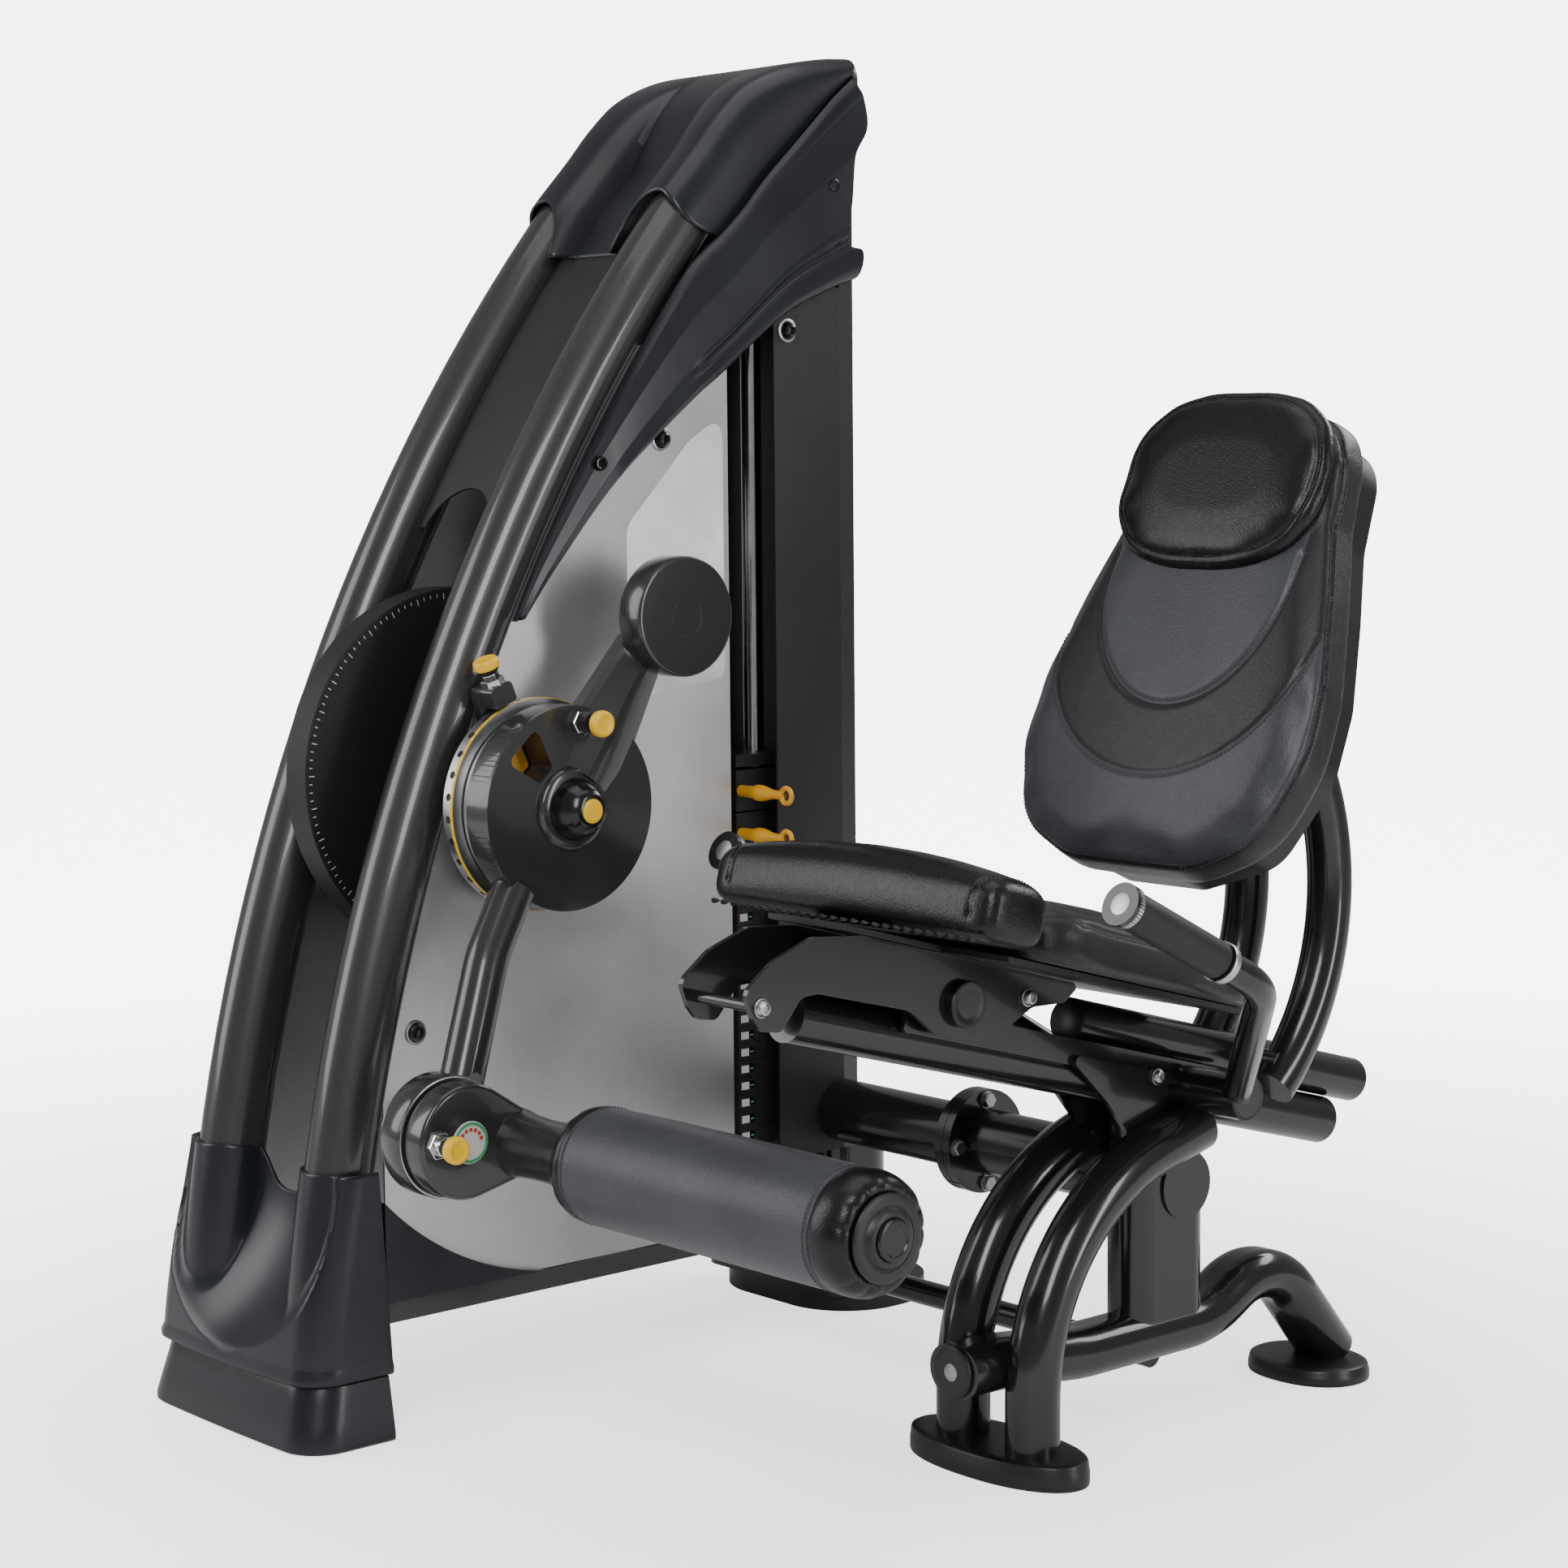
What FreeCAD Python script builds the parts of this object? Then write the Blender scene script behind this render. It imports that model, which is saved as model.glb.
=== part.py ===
import FreeCAD, Part
import math
import os

import Sketcher

V = FreeCAD.Vector
doc = FreeCAD.newDocument("leg_extension")

# ---------------------------------------------------------------- driving sizes
# Lengths are millimetres. Drawing coordinates: X across the machine from the
# weight tower to the seat, Y to the rear, Z up from the floor. datum_x and
# datum_y move the drawing origin to the middle of the overall footprint.
SIZES = {
    "datum_x": -48.3, "datum_y": 10,
    "tower_x": -362, "seat_x": 312,
    "arch_tube_r": 38, "arch_half": 108,
    "panel_t": 3, "side_cover_t": 16,
    "rail_t": 24, "rod_r": 12.5, "rod_half": 95,
    "stack_y": 134, "plate_pitch": 20.4, "plate_w": 250, "plate_d": 108, "plate_top": 546,
    "play": 0.05,
    "hub_y": -255, "hub_z": 683, "shaft_r": 20, "drum_r": 150, "drum_t": 40,
    "cam_r": 208, "cam_t": 38, "ring_r": 118, "disc_r": 113,
    "pulley_r": 45, "pulley_y": 89, "pulley_z": 1240, "belt_w": 30, "belt_t": 3, "belt_gap": 0.4,
    "weight_r": 67, "weight_t": 38, "arm_tube_r": 24,
    "joint_y": -467, "joint_z": 359, "joint_r": 65, "link_r": 61,
    "roller_y": -400, "roller_z": 347, "roller_r": 60, "roller_len": 440, "axle_r": 12,
    "pin_r": 4, "pin_travel": 8, "knob_r": 13,
    "leg_tube_r": 29, "leg_half": 51.5, "main_tube_r": 27, "beam_r": 38, "beam_len": 560,
    "rail_w": 72, "rail_h": 55, "handle_r": 16, "grip_r": 19, "cross_r": 24,
    "side_plate_t": 6, "side_plate_half": 48, "bolster_len": 424, "bolster_d": 88,
    "seat_len": 332, "seat_t": 40, "seat_half": 190,
    "carriage_r": 25, "c_tube_r": 25, "c_half": 60,
    "back_t": 48, "head_t": 32, "board_t": 33, "back_y": 148.8, "back_z": 613.5,
}

sheet = doc.addObject("Spreadsheet::Sheet", "dims")
for row, (alias, value) in enumerate(SIZES.items(), start=1):
    sheet.set("A%d" % row, alias)
    sheet.set("B%d" % row, str(value))
    sheet.setAlias("B%d" % row, alias)
doc.recompute()

TURN = {
    "x": FreeCAD.Rotation(V(0, 1, 0), 90),
    "y": FreeCAD.Rotation(V(1, 0, 0), -90),
    "z": FreeCAD.Rotation(),
}
NODES = []


# ---------------------------------------------------------------- helpers
def dim(alias):
    """The sheet cell of one driving size, for use inside an expression."""
    return "dims.%s" % alias


def place(obj, x, y, z, turn=None):
    """Move an object to a drawing position; each coordinate may be an expression."""
    if turn is not None:
        obj.Placement = FreeCAD.Placement(V(), turn)
    obj.setExpression("Placement.Base.x", "%s + dims.datum_x" % x)
    obj.setExpression("Placement.Base.y", "%s + dims.datum_y" % y)
    obj.setExpression("Placement.Base.z", "%s" % z)
    return obj


def node(obj, label):
    """Name a finished sub-part; its label is also its file name."""
    obj.Label = label
    NODES.append(obj)
    return obj


def cylinder(name, radius, length, x, y, z, axis="x"):
    obj = doc.addObject("Part::Cylinder", name)
    obj.setExpression("Radius", str(radius))
    obj.setExpression("Height", str(length))
    turn = TURN[axis] if isinstance(axis, str) else FreeCAD.Rotation(V(0, 0, 1), axis)
    return place(obj, x, y, z, turn)


def box(name, size, x, y, z, turn=None):
    """A block with its low corner at the given position."""
    obj = doc.addObject("Part::Box", name)
    for prop, expr in zip(("Length", "Width", "Height"), size):
        obj.setExpression(prop, str(expr))
    return place(obj, x, y, z, turn)


def sphere(name, radius, x, y, z):
    obj = doc.addObject("Part::Sphere", name)
    obj.setExpression("Radius", str(radius))
    return place(obj, x, y, z)


def fuse(name, shapes):
    obj = doc.addObject("Part::MultiFuse", name)
    obj.Shapes = shapes
    return obj


def cut(name, base, tools):
    obj = doc.addObject("Part::Cut", name)
    obj.Base = base
    obj.Tool = tools[0] if len(tools) == 1 else fuse(name + "_tools", tools)
    return obj


def group(name, shapes):
    """Separate pieces that share one node."""
    obj = doc.addObject("Part::Compound", name)
    obj.Links = shapes
    return obj


def mirrored(name, source, centre):
    """The opposite-hand copy of a piece across a vertical centre plane."""
    obj = doc.addObject("Part::Mirroring", name)
    obj.Source = source
    obj.Normal = V(1, 0, 0)
    obj.Base = V(SIZES[centre] + SIZES["datum_x"], 0, 0)
    obj.setExpression("Base.x", "dims.%s + dims.datum_x" % centre)
    return obj


def pair(name, source, centre="tower_x"):
    return group(name, [source, mirrored(name + "_far", source, centre)])


def corner(before, at, after, radius):
    """Tangent points and middle point of the arc that rounds one corner."""
    a = (before - at).normalize()
    b = (after - at).normalize()
    half = a.getAngle(b) / 2.0
    reach = radius / math.tan(half)
    bisector = (a + b).normalize()
    middle = at + bisector * (radius / math.sin(half) - radius)
    return at + a * reach, middle, at + b * reach


def rounded(points, closed=True):
    """Lines joined by tangent arcs through (u, v, radius) corner points."""
    corners = [V(p[0], p[1], 0) for p in points]
    radii = [p[2] if len(p) > 2 else 0 for p in points]
    count = len(points)
    arcs = []
    for i in range(count):
        inner = closed or 0 < i < count - 1
        if radii[i] > 0 and inner:
            arcs.append(corner(corners[i - 1], corners[i], corners[(i + 1) % count], radii[i]))
        else:
            arcs.append((corners[i], None, corners[i]))
    edges = []
    for i in range(count):
        start, middle, end = arcs[i]
        if middle is not None:
            edges.append(Part.Arc(start, middle, end))
        if i == count - 1 and not closed:
            break
        following = arcs[(i + 1) % count][0]
        if (following - end).Length > 1e-6:
            edges.append(Part.LineSegment(end, following))
    return edges


def origin_plane(body, role):
    return [o for o in body.Origin.OriginFeatures if o.Role == role][0]


def sketch_on(body, name, role, edges):
    sketch = body.newObject("Sketcher::SketchObject", name)
    sketch.AttachmentSupport = (origin_plane(body, role), [""])
    sketch.MapMode = "FlatFace"
    for edge in edges:
        sketch.addGeometry(edge)
    return sketch


def plate(name, edges, thickness, x, y=0, z=0, role="YZ_Plane", turn=None, midplane=False):
    """A flat piece cut to an outline; on the YZ plane it grows towards +X."""
    body = doc.addObject("PartDesign::Body", name)
    sketch = sketch_on(body, name + "_outline", role, edges)
    pad = body.newObject("PartDesign::Pad", name + "_pad")
    pad.Profile = sketch
    pad.Midplane = midplane
    pad.setExpression("Length", str(thickness))
    body.Tip = pad
    return place(body, x, y, z, turn)


def tube(name, path, radius, x, y=0, z=0, turn=None, bore=None):
    """A round tube bent along a path drawn on the YZ plane."""
    body = doc.addObject("PartDesign::Body", name)
    spine = sketch_on(body, name + "_path", "YZ_Plane", path)
    doc.recompute()
    ring = body.newObject("Sketcher::SketchObject", name + "_section")
    ring.AttachmentSupport = [(spine, "Edge1")]
    ring.MapMode = "NormalToEdge"
    ring.MapPathParameter = 0
    ring.addGeometry(Part.Circle(V(), V(0, 0, 1), 20))
    ring.addConstraint(Sketcher.Constraint("Coincident", 0, 3, -1, 1))
    ring.addConstraint(Sketcher.Constraint("Radius", 0, 20))
    ring.setExpression("Constraints[1]", str(radius))
    sweep = body.newObject("PartDesign::AdditivePipe", name + "_sweep")
    sweep.Profile = ring
    sweep.Spine = (spine, ["Edge%d" % (i + 1) for i in range(len(path))])
    body.Tip = sweep
    return place(body, x, y, z, turn)


def slot_outline(half_u, half_v):
    """A flat oval: straight sides closed by half circles, longer along u."""
    flat = half_u - half_v
    top = Part.LineSegment(V(flat, half_v, 0), V(-flat, half_v, 0))
    left = Part.Arc(V(-flat, half_v, 0), V(-half_u, 0, 0), V(-flat, -half_v, 0))
    bottom = Part.LineSegment(V(-flat, -half_v, 0), V(flat, -half_v, 0))
    right = Part.Arc(V(flat, -half_v, 0), V(half_u, 0, 0), V(flat, half_v, 0))
    return [top, left, bottom, right]


def plan_loft(name, sections, x, y, z):
    """A hollow-looking cover lofted through outlines at rising heights."""
    body = doc.addObject("PartDesign::Body", name)
    sketches = []
    for i, (height, points) in enumerate(sections):
        sketch = sketch_on(body, "%s_section_%d" % (name, i), "XY_Plane", rounded(points))
        sketch.AttachmentOffset = FreeCAD.Placement(V(0, 0, height), FreeCAD.Rotation())
        sketches.append(sketch)
    loft = body.newObject("PartDesign::AdditiveLoft", name + "_loft")
    loft.Profile = sketches[0]
    loft.Sections = sketches[1:]
    loft.Ruled = True
    body.Tip = loft
    return place(body, x, y, z)


def straight_tube(name, radius, start, direction, length):
    """A round bar from a point along any direction in the drawing frame."""
    return cylinder(name, radius, length, start[0], start[1], start[2], axis=V(*direction))


def bent_tube_3d(name, radius, start, bend, end, bend_r):
    """A round tube through three points in space, bent once in their plane."""
    a, b, c = V(*start), V(*bend), V(*end)
    along = (b - a).normalize()
    normal = along.cross(c - b).normalize()
    across = normal.cross(along)
    turn = FreeCAD.Rotation(normal, along, across, "ZXY")
    far = c - a
    path = rounded([(0, 0), ((b - a).Length, 0, bend_r), (far.dot(along), far.dot(across))], False)
    return tube(name, path, radius, start[0], start[1], start[2], turn=turn)


# ---------------------------------------------------------------- arch geometry
ARCH_Y = 1708.3
ARCH_Z = -106.4
ARCH_R = 2223.8


def arch_point(z, offset=0.0):
    """Point of the tower arch at one height; a positive offset is outwards."""
    radius = ARCH_R + offset
    return V(ARCH_Y - math.sqrt(radius ** 2 - (z - ARCH_Z) ** 2), z, 0)


def arch_arc(z_low, z_high, offset=0.0):
    middle = (z_low + z_high) / 2.0
    return Part.Arc(arch_point(z_low, offset), arch_point(middle, offset), arch_point(z_high, offset))


TUBE_LOW = 112
TUBE_HIGH = 1398

# ---------------------------------------------------------------- weight tower
tube_near = tube("arch_tube_near", [arch_arc(TUBE_LOW, TUBE_HIGH)], dim("arch_tube_r"),
                 "dims.tower_x + dims.arch_half")
node(pair("arch_tubes", tube_near), "arch_tubes")
sleeve_near = tube("arch_sleeve_near", [arch_arc(TUBE_LOW - 1, TUBE_HIGH + 1)],
                   "dims.arch_tube_r + dims.play", "dims.tower_x + dims.arch_half")
sleeves = pair("arch_sleeves", sleeve_near)


def cowl_plan(half, front, rear, bow, soft):
    return [(-half, rear, 12), (-half, front + bow, soft), (0, front, 500),
            (half, front + bow, soft), (half, rear, 12)]


shoe = plan_loft("shoe_loft", [
    (0, cowl_plan(171, -570, -455, 30, 34)),
    (60, cowl_plan(165, -562, -461, 27, 32)),
    (72, cowl_plan(159, -555, -465, 24, 30)),
], dim("tower_x"), 0, 0)
node(shoe, "base_shoe")
cowl = plan_loft("cowl_loft", [
    (72, cowl_plan(161, -558, -463, 22, 30)),
    (205, cowl_plan(164, -547, -457, 16, 28)),
    (300, cowl_plan(166, -522, -452, 14, 26)),
], dim("tower_x"), 0, 0)
scoop = sphere("cowl_scoop", 262, dim("tower_x"), -726.6, 300)
node(cut("base_cowl", cowl, [scoop, sleeves]), "base_cowl")

panel_edges = [
    arch_arc(985, 1299, 3),
    Part.LineSegment(arch_point(1299, 3), arch_point(1299, 0)),
    arch_arc(985, 1299, 0),
    Part.LineSegment(arch_point(985, 0), arch_point(985, 3)),
]
arch_blank = plate("arch_panel_blank", panel_edges, 137, "dims.tower_x - 68.5")
notch = cylinder("arch_panel_notch", 58, 120, dim("tower_x"), -190, 955, axis=V(0, -0.88, 0.47))
node(cut("arch_panel", arch_blank, [notch]), "arch_panel")

# The hood closes the top of both tubes; the side covers hang from it.
HOOD = [(16, 1300, 0), (-58, 1300, 10), (-20, 1366, 40), (32, 1421, 60), (66, 1459, 60),
        (108, 1495, 60), (165, 1520, 80), (225, 1532, 80), (262, 1535, 4), (262, 1512.5, 0),
        (240, 1512.5, 0), (193, 1457, 0), (129, 1402, 0), (66, 1343, 0)]
HOOD_HOLLOW = [(10, 1290, 0), (-80, 1290, 0), (-14, 1364, 30), (37, 1416, 50), (71, 1453, 50),
               (111, 1488, 50), (167, 1513, 60), (225, 1526, 60), (256, 1529, 0),
               (256, 1500, 0), (200, 1440, 0), (60, 1320, 0)]
hood_blank = plate("hood_blank", rounded(HOOD), 324, "dims.tower_x - 162")
hood_hollow = plate("hood_hollow", rounded(HOOD_HOLLOW), 312, "dims.tower_x - 156")
node(cut("top_hood", hood_blank, [hood_hollow, sleeves]), "top_hood")

COVER = [(11, 1296), (66, 1338, 90), (129, 1396.5, 90), (193, 1451.5, 90), (240, 1509.5), (251, 1509, 3),
         (269, 1453, 10), (253, 1419, 10), (236, 1313, 4), (258, 1305, 3), (258, 1273, 3),
         (241, 1266, 6), (173, 1240, 90), (53, 1163, 200), (-51, 1103, 200), (-146, 1031, 150),
         (-205, 960, 90)]
cover_low = 927
cover_open = rounded(COVER + [(arch_point(cover_low, -20).x, cover_low)], False)
cover_edges = cover_open + [
    arch_arc(cover_low, 1290, -20),
    Part.LineSegment(arch_point(1290, -20), V(11, 1296, 0)),
]
cover_near = plate("side_cover_near", cover_edges, dim("side_cover_t"), "dims.tower_x + 145")
node(pair("top_sides", cover_near), "top_sides")

panel_low = 148
panel_outline = [
    Part.LineSegment(arch_point(367, -20), V(-444, panel_low, 0)),
    Part.LineSegment(V(-444, panel_low, 0), V(56, panel_low, 0)),
    Part.LineSegment(V(56, panel_low, 0), V(56, 1190, 0)),
    Part.LineSegment(V(56, 1190, 0), arch_point(1190, -20)),
    arch_arc(367, 1190, -20),
]
panel_blank = plate("side_panel_blank", panel_outline, dim("panel_t"), "dims.tower_x + 141")
hub_window = cylinder("panel_hub_window", 50, 20, "dims.tower_x + 130", dim("hub_y"), dim("hub_z"))
panel_near = cut("side_panel_near", panel_blank, [hub_window])
panel_far = mirrored("side_panel_far", panel_blank, "tower_x")
node(group("side_panels", [panel_near, panel_far]), "side_panels")

gusset_edges = [
    Part.LineSegment(V(-236, panel_low, 0), V(-450, panel_low, 0)),
    Part.LineSegment(V(-450, panel_low, 0), V(-450, 260, 0)),
    Part.Arc(V(-450, 260, 0), V(-352, 186, 0), V(-236, panel_low, 0)),
]
gusset_near = plate("corner_gusset_near", gusset_edges, 8, "dims.tower_x + 144")
node(pair("corner_gussets", gusset_near), "corner_gussets")

floor_rail = box("floor_rail", (30, 691, 23), "dims.tower_x + 116", -459, 124)
upright = box("upright", (30, 22, 1250), "dims.tower_x + 114", 233, 218)
stack_shelf = box("stack_shelf", (232, 100, 23), "dims.tower_x - 116", 84, 124)
rail_far = mirrored("rail_far", floor_rail, "tower_x")
rails = fuse("floor_rails", [floor_rail, rail_far, stack_shelf])
node(group("tower_rails", [rails, upright, mirrored("upright_far", upright, "tower_x")]), "tower_rails")

strip_near = box("column_strip", (3, 104, 1044), "dims.tower_x + 142", 128, 218)
strip_far = mirrored("column_strip_far", strip_near, "tower_x")
rear_sheet = box("rear_sheet", (228, 3, 1060), "dims.tower_x - 114", 252, 218)
node(group("column_covers", [strip_near, strip_far, rear_sheet]), "column_covers")

leg_plan = [(-130, -53.5, 25), (130, -53.5, 25), (130, 53.5, 50), (-130, 53.5, 50)]
rear_leg = plate("rear_leg", rounded(leg_plan), 192, dim("tower_x"), 286.5, 25, "XY_Plane")
node(rear_leg, "rear_leg")
foot_plan = [(-135, -97, 90), (135, -97, 90), (135, 97, 90), (-135, 97, 90)]
node(plate("tower_foot", rounded(foot_plan), 25, dim("tower_x"), 330, 0, "XY_Plane"), "tower_foot")

# ---------------------------------------------------------------- weight stack
PLATES = 15
SELECTED = 3
STEM_Y = 100


def twin_bars(name, radius, length, z):
    """A bar at each guide rod position."""
    near = cylinder(name + "_near", radius, length, "dims.tower_x + dims.rod_half", dim("stack_y"), z, "z")
    far = cylinder(name + "_far", radius, length, "dims.tower_x - dims.rod_half", dim("stack_y"), z, "z")
    return [near, far]


node(group("guide_rods", twin_bars("guide_rod", dim("rod_r"), 1077, 148)), "guide_rods")
rod_bores = twin_bars("rod_bore", "dims.rod_r + dims.play", 1200, 140)
stem_bore = cylinder("stem_bore", 12 + SIZES["play"], 500, dim("tower_x"), STEM_Y, 230, "z")

buffers = [cut("buffer_%d" % i, bar, [bore]) for i, (bar, bore) in
           enumerate(zip(twin_bars("buffer_blank", 28, 91, 148), rod_bores))]
node(group("stack_buffers", buffers), "stack_buffers")


def stack_plate(index):
    """One weight plate, bored for the rods, the stem and the selector pin."""
    low = "dims.plate_top - %d * dims.plate_pitch + 0.4" % (index + 1)
    blank = box("plate_blank_%d" % index, (dim("plate_w"), dim("plate_d"), "dims.plate_pitch - 0.4"),
                "dims.tower_x - dims.plate_w / 2", "dims.stack_y - dims.plate_d / 2", low)
    pin_hole = cylinder("plate_pin_hole_%d" % index, 5, 126, dim("tower_x"), STEM_Y,
                        low + " + dims.plate_pitch / 2")
    return cut("plate_%d" % index, blank, rod_bores + [stem_bore, pin_hole])


plates = [stack_plate(i) for i in range(PLATES)]
node(group("lifted_plates", plates[:SELECTED + 1]), "lifted_plates")
node(group("resting_plates", plates[SELECTED + 1:]), "resting_plates")

pin_z = "dims.plate_top - %d * dims.plate_pitch + 0.4 + dims.plate_pitch / 2" % (SELECTED + 1)
stem = cylinder("stem", 12, 450, dim("tower_x"), STEM_Y, 256, "z")
stem_hole = cylinder("stem_hole", 5, 40, "dims.tower_x - 20", STEM_Y, pin_z)
base_block = box("head_base", (dim("plate_w"), 90, 43), "dims.tower_x - dims.plate_w / 2", 80,
                 "dims.plate_top + 1")
top_plate = box("head_top", (dim("plate_w"), 90, 14), "dims.tower_x - dims.plate_w / 2", 80, 696)
anchor = box("belt_anchor", (36, 26, 20), "dims.tower_x - 61", 121, 710)
head = fuse("head_fused", [stem, base_block, top_plate, anchor])
node(cut("stack_head", head, rod_bores + [stem_hole]), "stack_head")

addons = []
for level, low in (("lower", 592), ("upper", 643)):
    blank = box("addon_blank_" + level, (dim("plate_w"), 90, 49), "dims.tower_x - dims.plate_w / 2", 80, low)
    lever_bore = cylinder("addon_bore_" + level, 5.55, 60, "dims.tower_x + 70", 88, low + 24.5)
    stem_room = cylinder("addon_stem_" + level, 12, 60, dim("tower_x"), STEM_Y, low - 5, "z")
    addons.append(cut("addon_" + level, blank, rod_bores + [stem_room, lever_bore]))
    bar = cylinder("lever_bar_" + level, 5.5, 126, "dims.tower_x + 72", 88, low + 24.5)
    eye = cylinder("lever_eye_" + level, 11, 13, "dims.tower_x + 206", 88, low + 18, "z")
    eye_hole = cylinder("lever_eye_hole_" + level, 5, 20, "dims.tower_x + 206", 88, low + 14, "z")
    lever = cut("addon_lever_" + level, fuse("lever_fused_" + level, [bar, eye]), [eye_hole])
    node(lever, "addon_lever_" + level)
node(group("addon_weights", addons), "addon_weights")

pin_bar = cylinder("selector_bar", 4.95, 150, "dims.tower_x - 10", STEM_Y, pin_z)
pin_grip = cylinder("selector_grip", 12, 30, "dims.tower_x + 128", STEM_Y, pin_z)
node(fuse("selector_pin", [pin_bar, pin_grip]), "selector_pin")

# ---------------------------------------------------------------- pulley and belt
BELT_X = "dims.tower_x - 58"
axle_x = "dims.tower_x - 76"
wheel = cylinder("pulley_rim", dim("pulley_r"), 36, "dims.tower_x - 61", dim("pulley_y"), dim("pulley_z"))
wheel_bore = cylinder("pulley_bore", "8 + dims.play", 60, axle_x, dim("pulley_y"), dim("pulley_z"))
node(cut("top_pulley", wheel, [wheel_bore]), "top_pulley")
cheeks = [box("cheek_%d" % i, (6, 145, 40), "dims.tower_x - %d" % off, 70, "dims.pulley_z - 20")
          for i, off in ((0, 72), (1, 20))]
cross_beam = box("cross_beam", (228, 22, 40), "dims.tower_x - 114", 210, "dims.pulley_z - 20")
rod_plate = box("rod_plate", (228, 132, 10), "dims.tower_x - 114", 100, 1226)
belt_slot = box("belt_slot", (44, 56, 30), "dims.tower_x - 65", 95, 1216)
axle = cylinder("pulley_axle", 8, 58, "dims.tower_x - 72", dim("pulley_y"), dim("pulley_z"))
frame_top = fuse("pulley_frame", [cross_beam, rod_plate, axle] + cheeks)
node(cut("pulley_bracket", frame_top, [belt_slot]), "pulley_bracket")


def tangent_span(drum_c, drum_r, wheel_c, wheel_r):
    """Contact angles of the crossed tangent from the back of the drum to the front of the wheel."""
    d = wheel_c - drum_c
    base = math.atan2(d.y, d.x)
    spread = math.acos((drum_r + wheel_r) / d.Length)
    return base - spread, base - spread + math.pi


def on_circle(centre, radius, angle):
    return centre + V(math.cos(angle), math.sin(angle), 0) * radius


def belt_outline(inner):
    """Closed outline of the running belt: drum wrap, span, and wrap over the wheel."""
    drum_c = V(SIZES["hub_y"], SIZES["hub_z"], 0)
    wheel_c = V(SIZES["pulley_y"], SIZES["pulley_z"], 0)
    thick = SIZES["belt_t"]
    drum_in = SIZES["drum_r"] + inner
    wheel_in = SIZES["pulley_r"] + inner
    leave, arrive = tangent_span(drum_c, drum_in + thick / 2, wheel_c, wheel_in + thick / 2)
    start = leave - math.radians(75)
    edges = []
    sides = ((drum_in, wheel_in + thick), (drum_in + thick, wheel_in))
    for drum_side, wheel_side in sides:
        a = on_circle(drum_c, drum_side, start)
        b = on_circle(drum_c, drum_side, (start + leave) / 2)
        c = on_circle(drum_c, drum_side, leave)
        d = on_circle(wheel_c, wheel_side, arrive)
        e = on_circle(wheel_c, wheel_side, arrive / 2)
        f = on_circle(wheel_c, wheel_side, 0)
        edges.append([Part.Arc(a, b, c), Part.LineSegment(c, d), Part.Arc(d, e, f), a, f])
    (arc_a, run_a, top_a, a0, f0), (arc_b, run_b, top_b, a1, f1) = edges
    return [arc_a, run_a, top_a, Part.LineSegment(f0, f1), top_b, run_b, arc_b, Part.LineSegment(a1, a0)]


belt = plate("belt_run", belt_outline(SIZES["belt_gap"]), dim("belt_w"), BELT_X)
node(belt, "belt_run")
drop = box("belt_drop", (dim("belt_w"), dim("belt_t"), "dims.pulley_z - 730.5"), BELT_X,
           "dims.pulley_y + dims.pulley_r + dims.belt_gap", 730)
node(drop, "belt_drop")

# ---------------------------------------------------------------- hub, cam and lever
HUB = (dim("hub_y"), dim("hub_z"))


def ring(name, outer, inner, length, x):
    return cut(name, cylinder(name + "_blank", outer, length, x, *HUB),
               [cylinder(name + "_bore", inner, "%s + 10" % length, "%s - 5" % x, *HUB)])


bearing_plate = box("bearing_plate", (12, 372, 240), "dims.tower_x + 126", -330, 560)
housing = cylinder("housing", 45, 59, "dims.tower_x + 126", *HUB)
shaft_bore = cylinder("housing_bore", "dims.shaft_r + dims.play", 80, "dims.tower_x + 120", *HUB)
bearing_near = cut("bearing_near", fuse("bearing_fused", [bearing_plate, housing]),
                   [shaft_bore, sleeve_near])
far_plate = box("far_bearing_plate", (12, 372, 240), "dims.tower_x - 138", -330, 560)
far_housing = cylinder("far_housing", 45, 26, "dims.tower_x - 138", *HUB)
far_bore = cylinder("far_bore", "dims.shaft_r + dims.play", 80, "dims.tower_x - 170", *HUB)
bearing_far = cut("bearing_far", fuse("far_bearing_fused", [far_plate, far_housing]), [far_bore, sleeves])

# radial stop pin on a fixed arm above the range ring
PIN_DIR = V(-48, 120, 0).normalize()


def radial(reach):
    return SIZES["hub_y"] + PIN_DIR.x * reach, SIZES["hub_z"] + PIN_DIR.y * reach


pin_axis = (0, PIN_DIR.x, PIN_DIR.y)
arm_turn = FreeCAD.Rotation(V(1, 0, 0), math.degrees(math.atan2(PIN_DIR.y, PIN_DIR.x)))
arm_blank = plate("stop_arm_blank", rounded([(0, -34, 8), (146, -15, 8), (146, 15, 8), (0, 34, 8)]),
                  12, -212, -255, 683, turn=arm_turn)
arm_nose = plate("stop_arm_nose", rounded([(122, -15, 4), (146, -15, 6), (146, 15, 6), (122, 15, 4)]),
                 38, -212, -255, 683, turn=arm_turn)
collar = straight_tube("stop_collar", 10, (-187, *radial(146)), pin_axis, 12)
collar_bore = straight_tube("stop_collar_bore", "dims.pin_r + dims.play", (-187, *radial(118)), pin_axis, 50)
arm_root = cylinder("stop_arm_root", 45, 80, "dims.tower_x + 120", *HUB)
stop_arm = cut("stop_arm", fuse("stop_arm_fused", [arm_blank, arm_nose, collar]), [collar_bore, arm_root])
node(group("hub_bearings", [bearing_near, bearing_far, stop_arm]), "hub_bearings")
stop_bar = straight_tube("stop_bar", dim("pin_r"), (-187, *radial(119)), pin_axis, 44)
stop_knob = straight_tube("stop_knob", dim("knob_r"), (-187, *radial(163)), pin_axis, 14)
node(fuse("stop_pin", [stop_bar, stop_knob]), "stop_pin")

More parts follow.
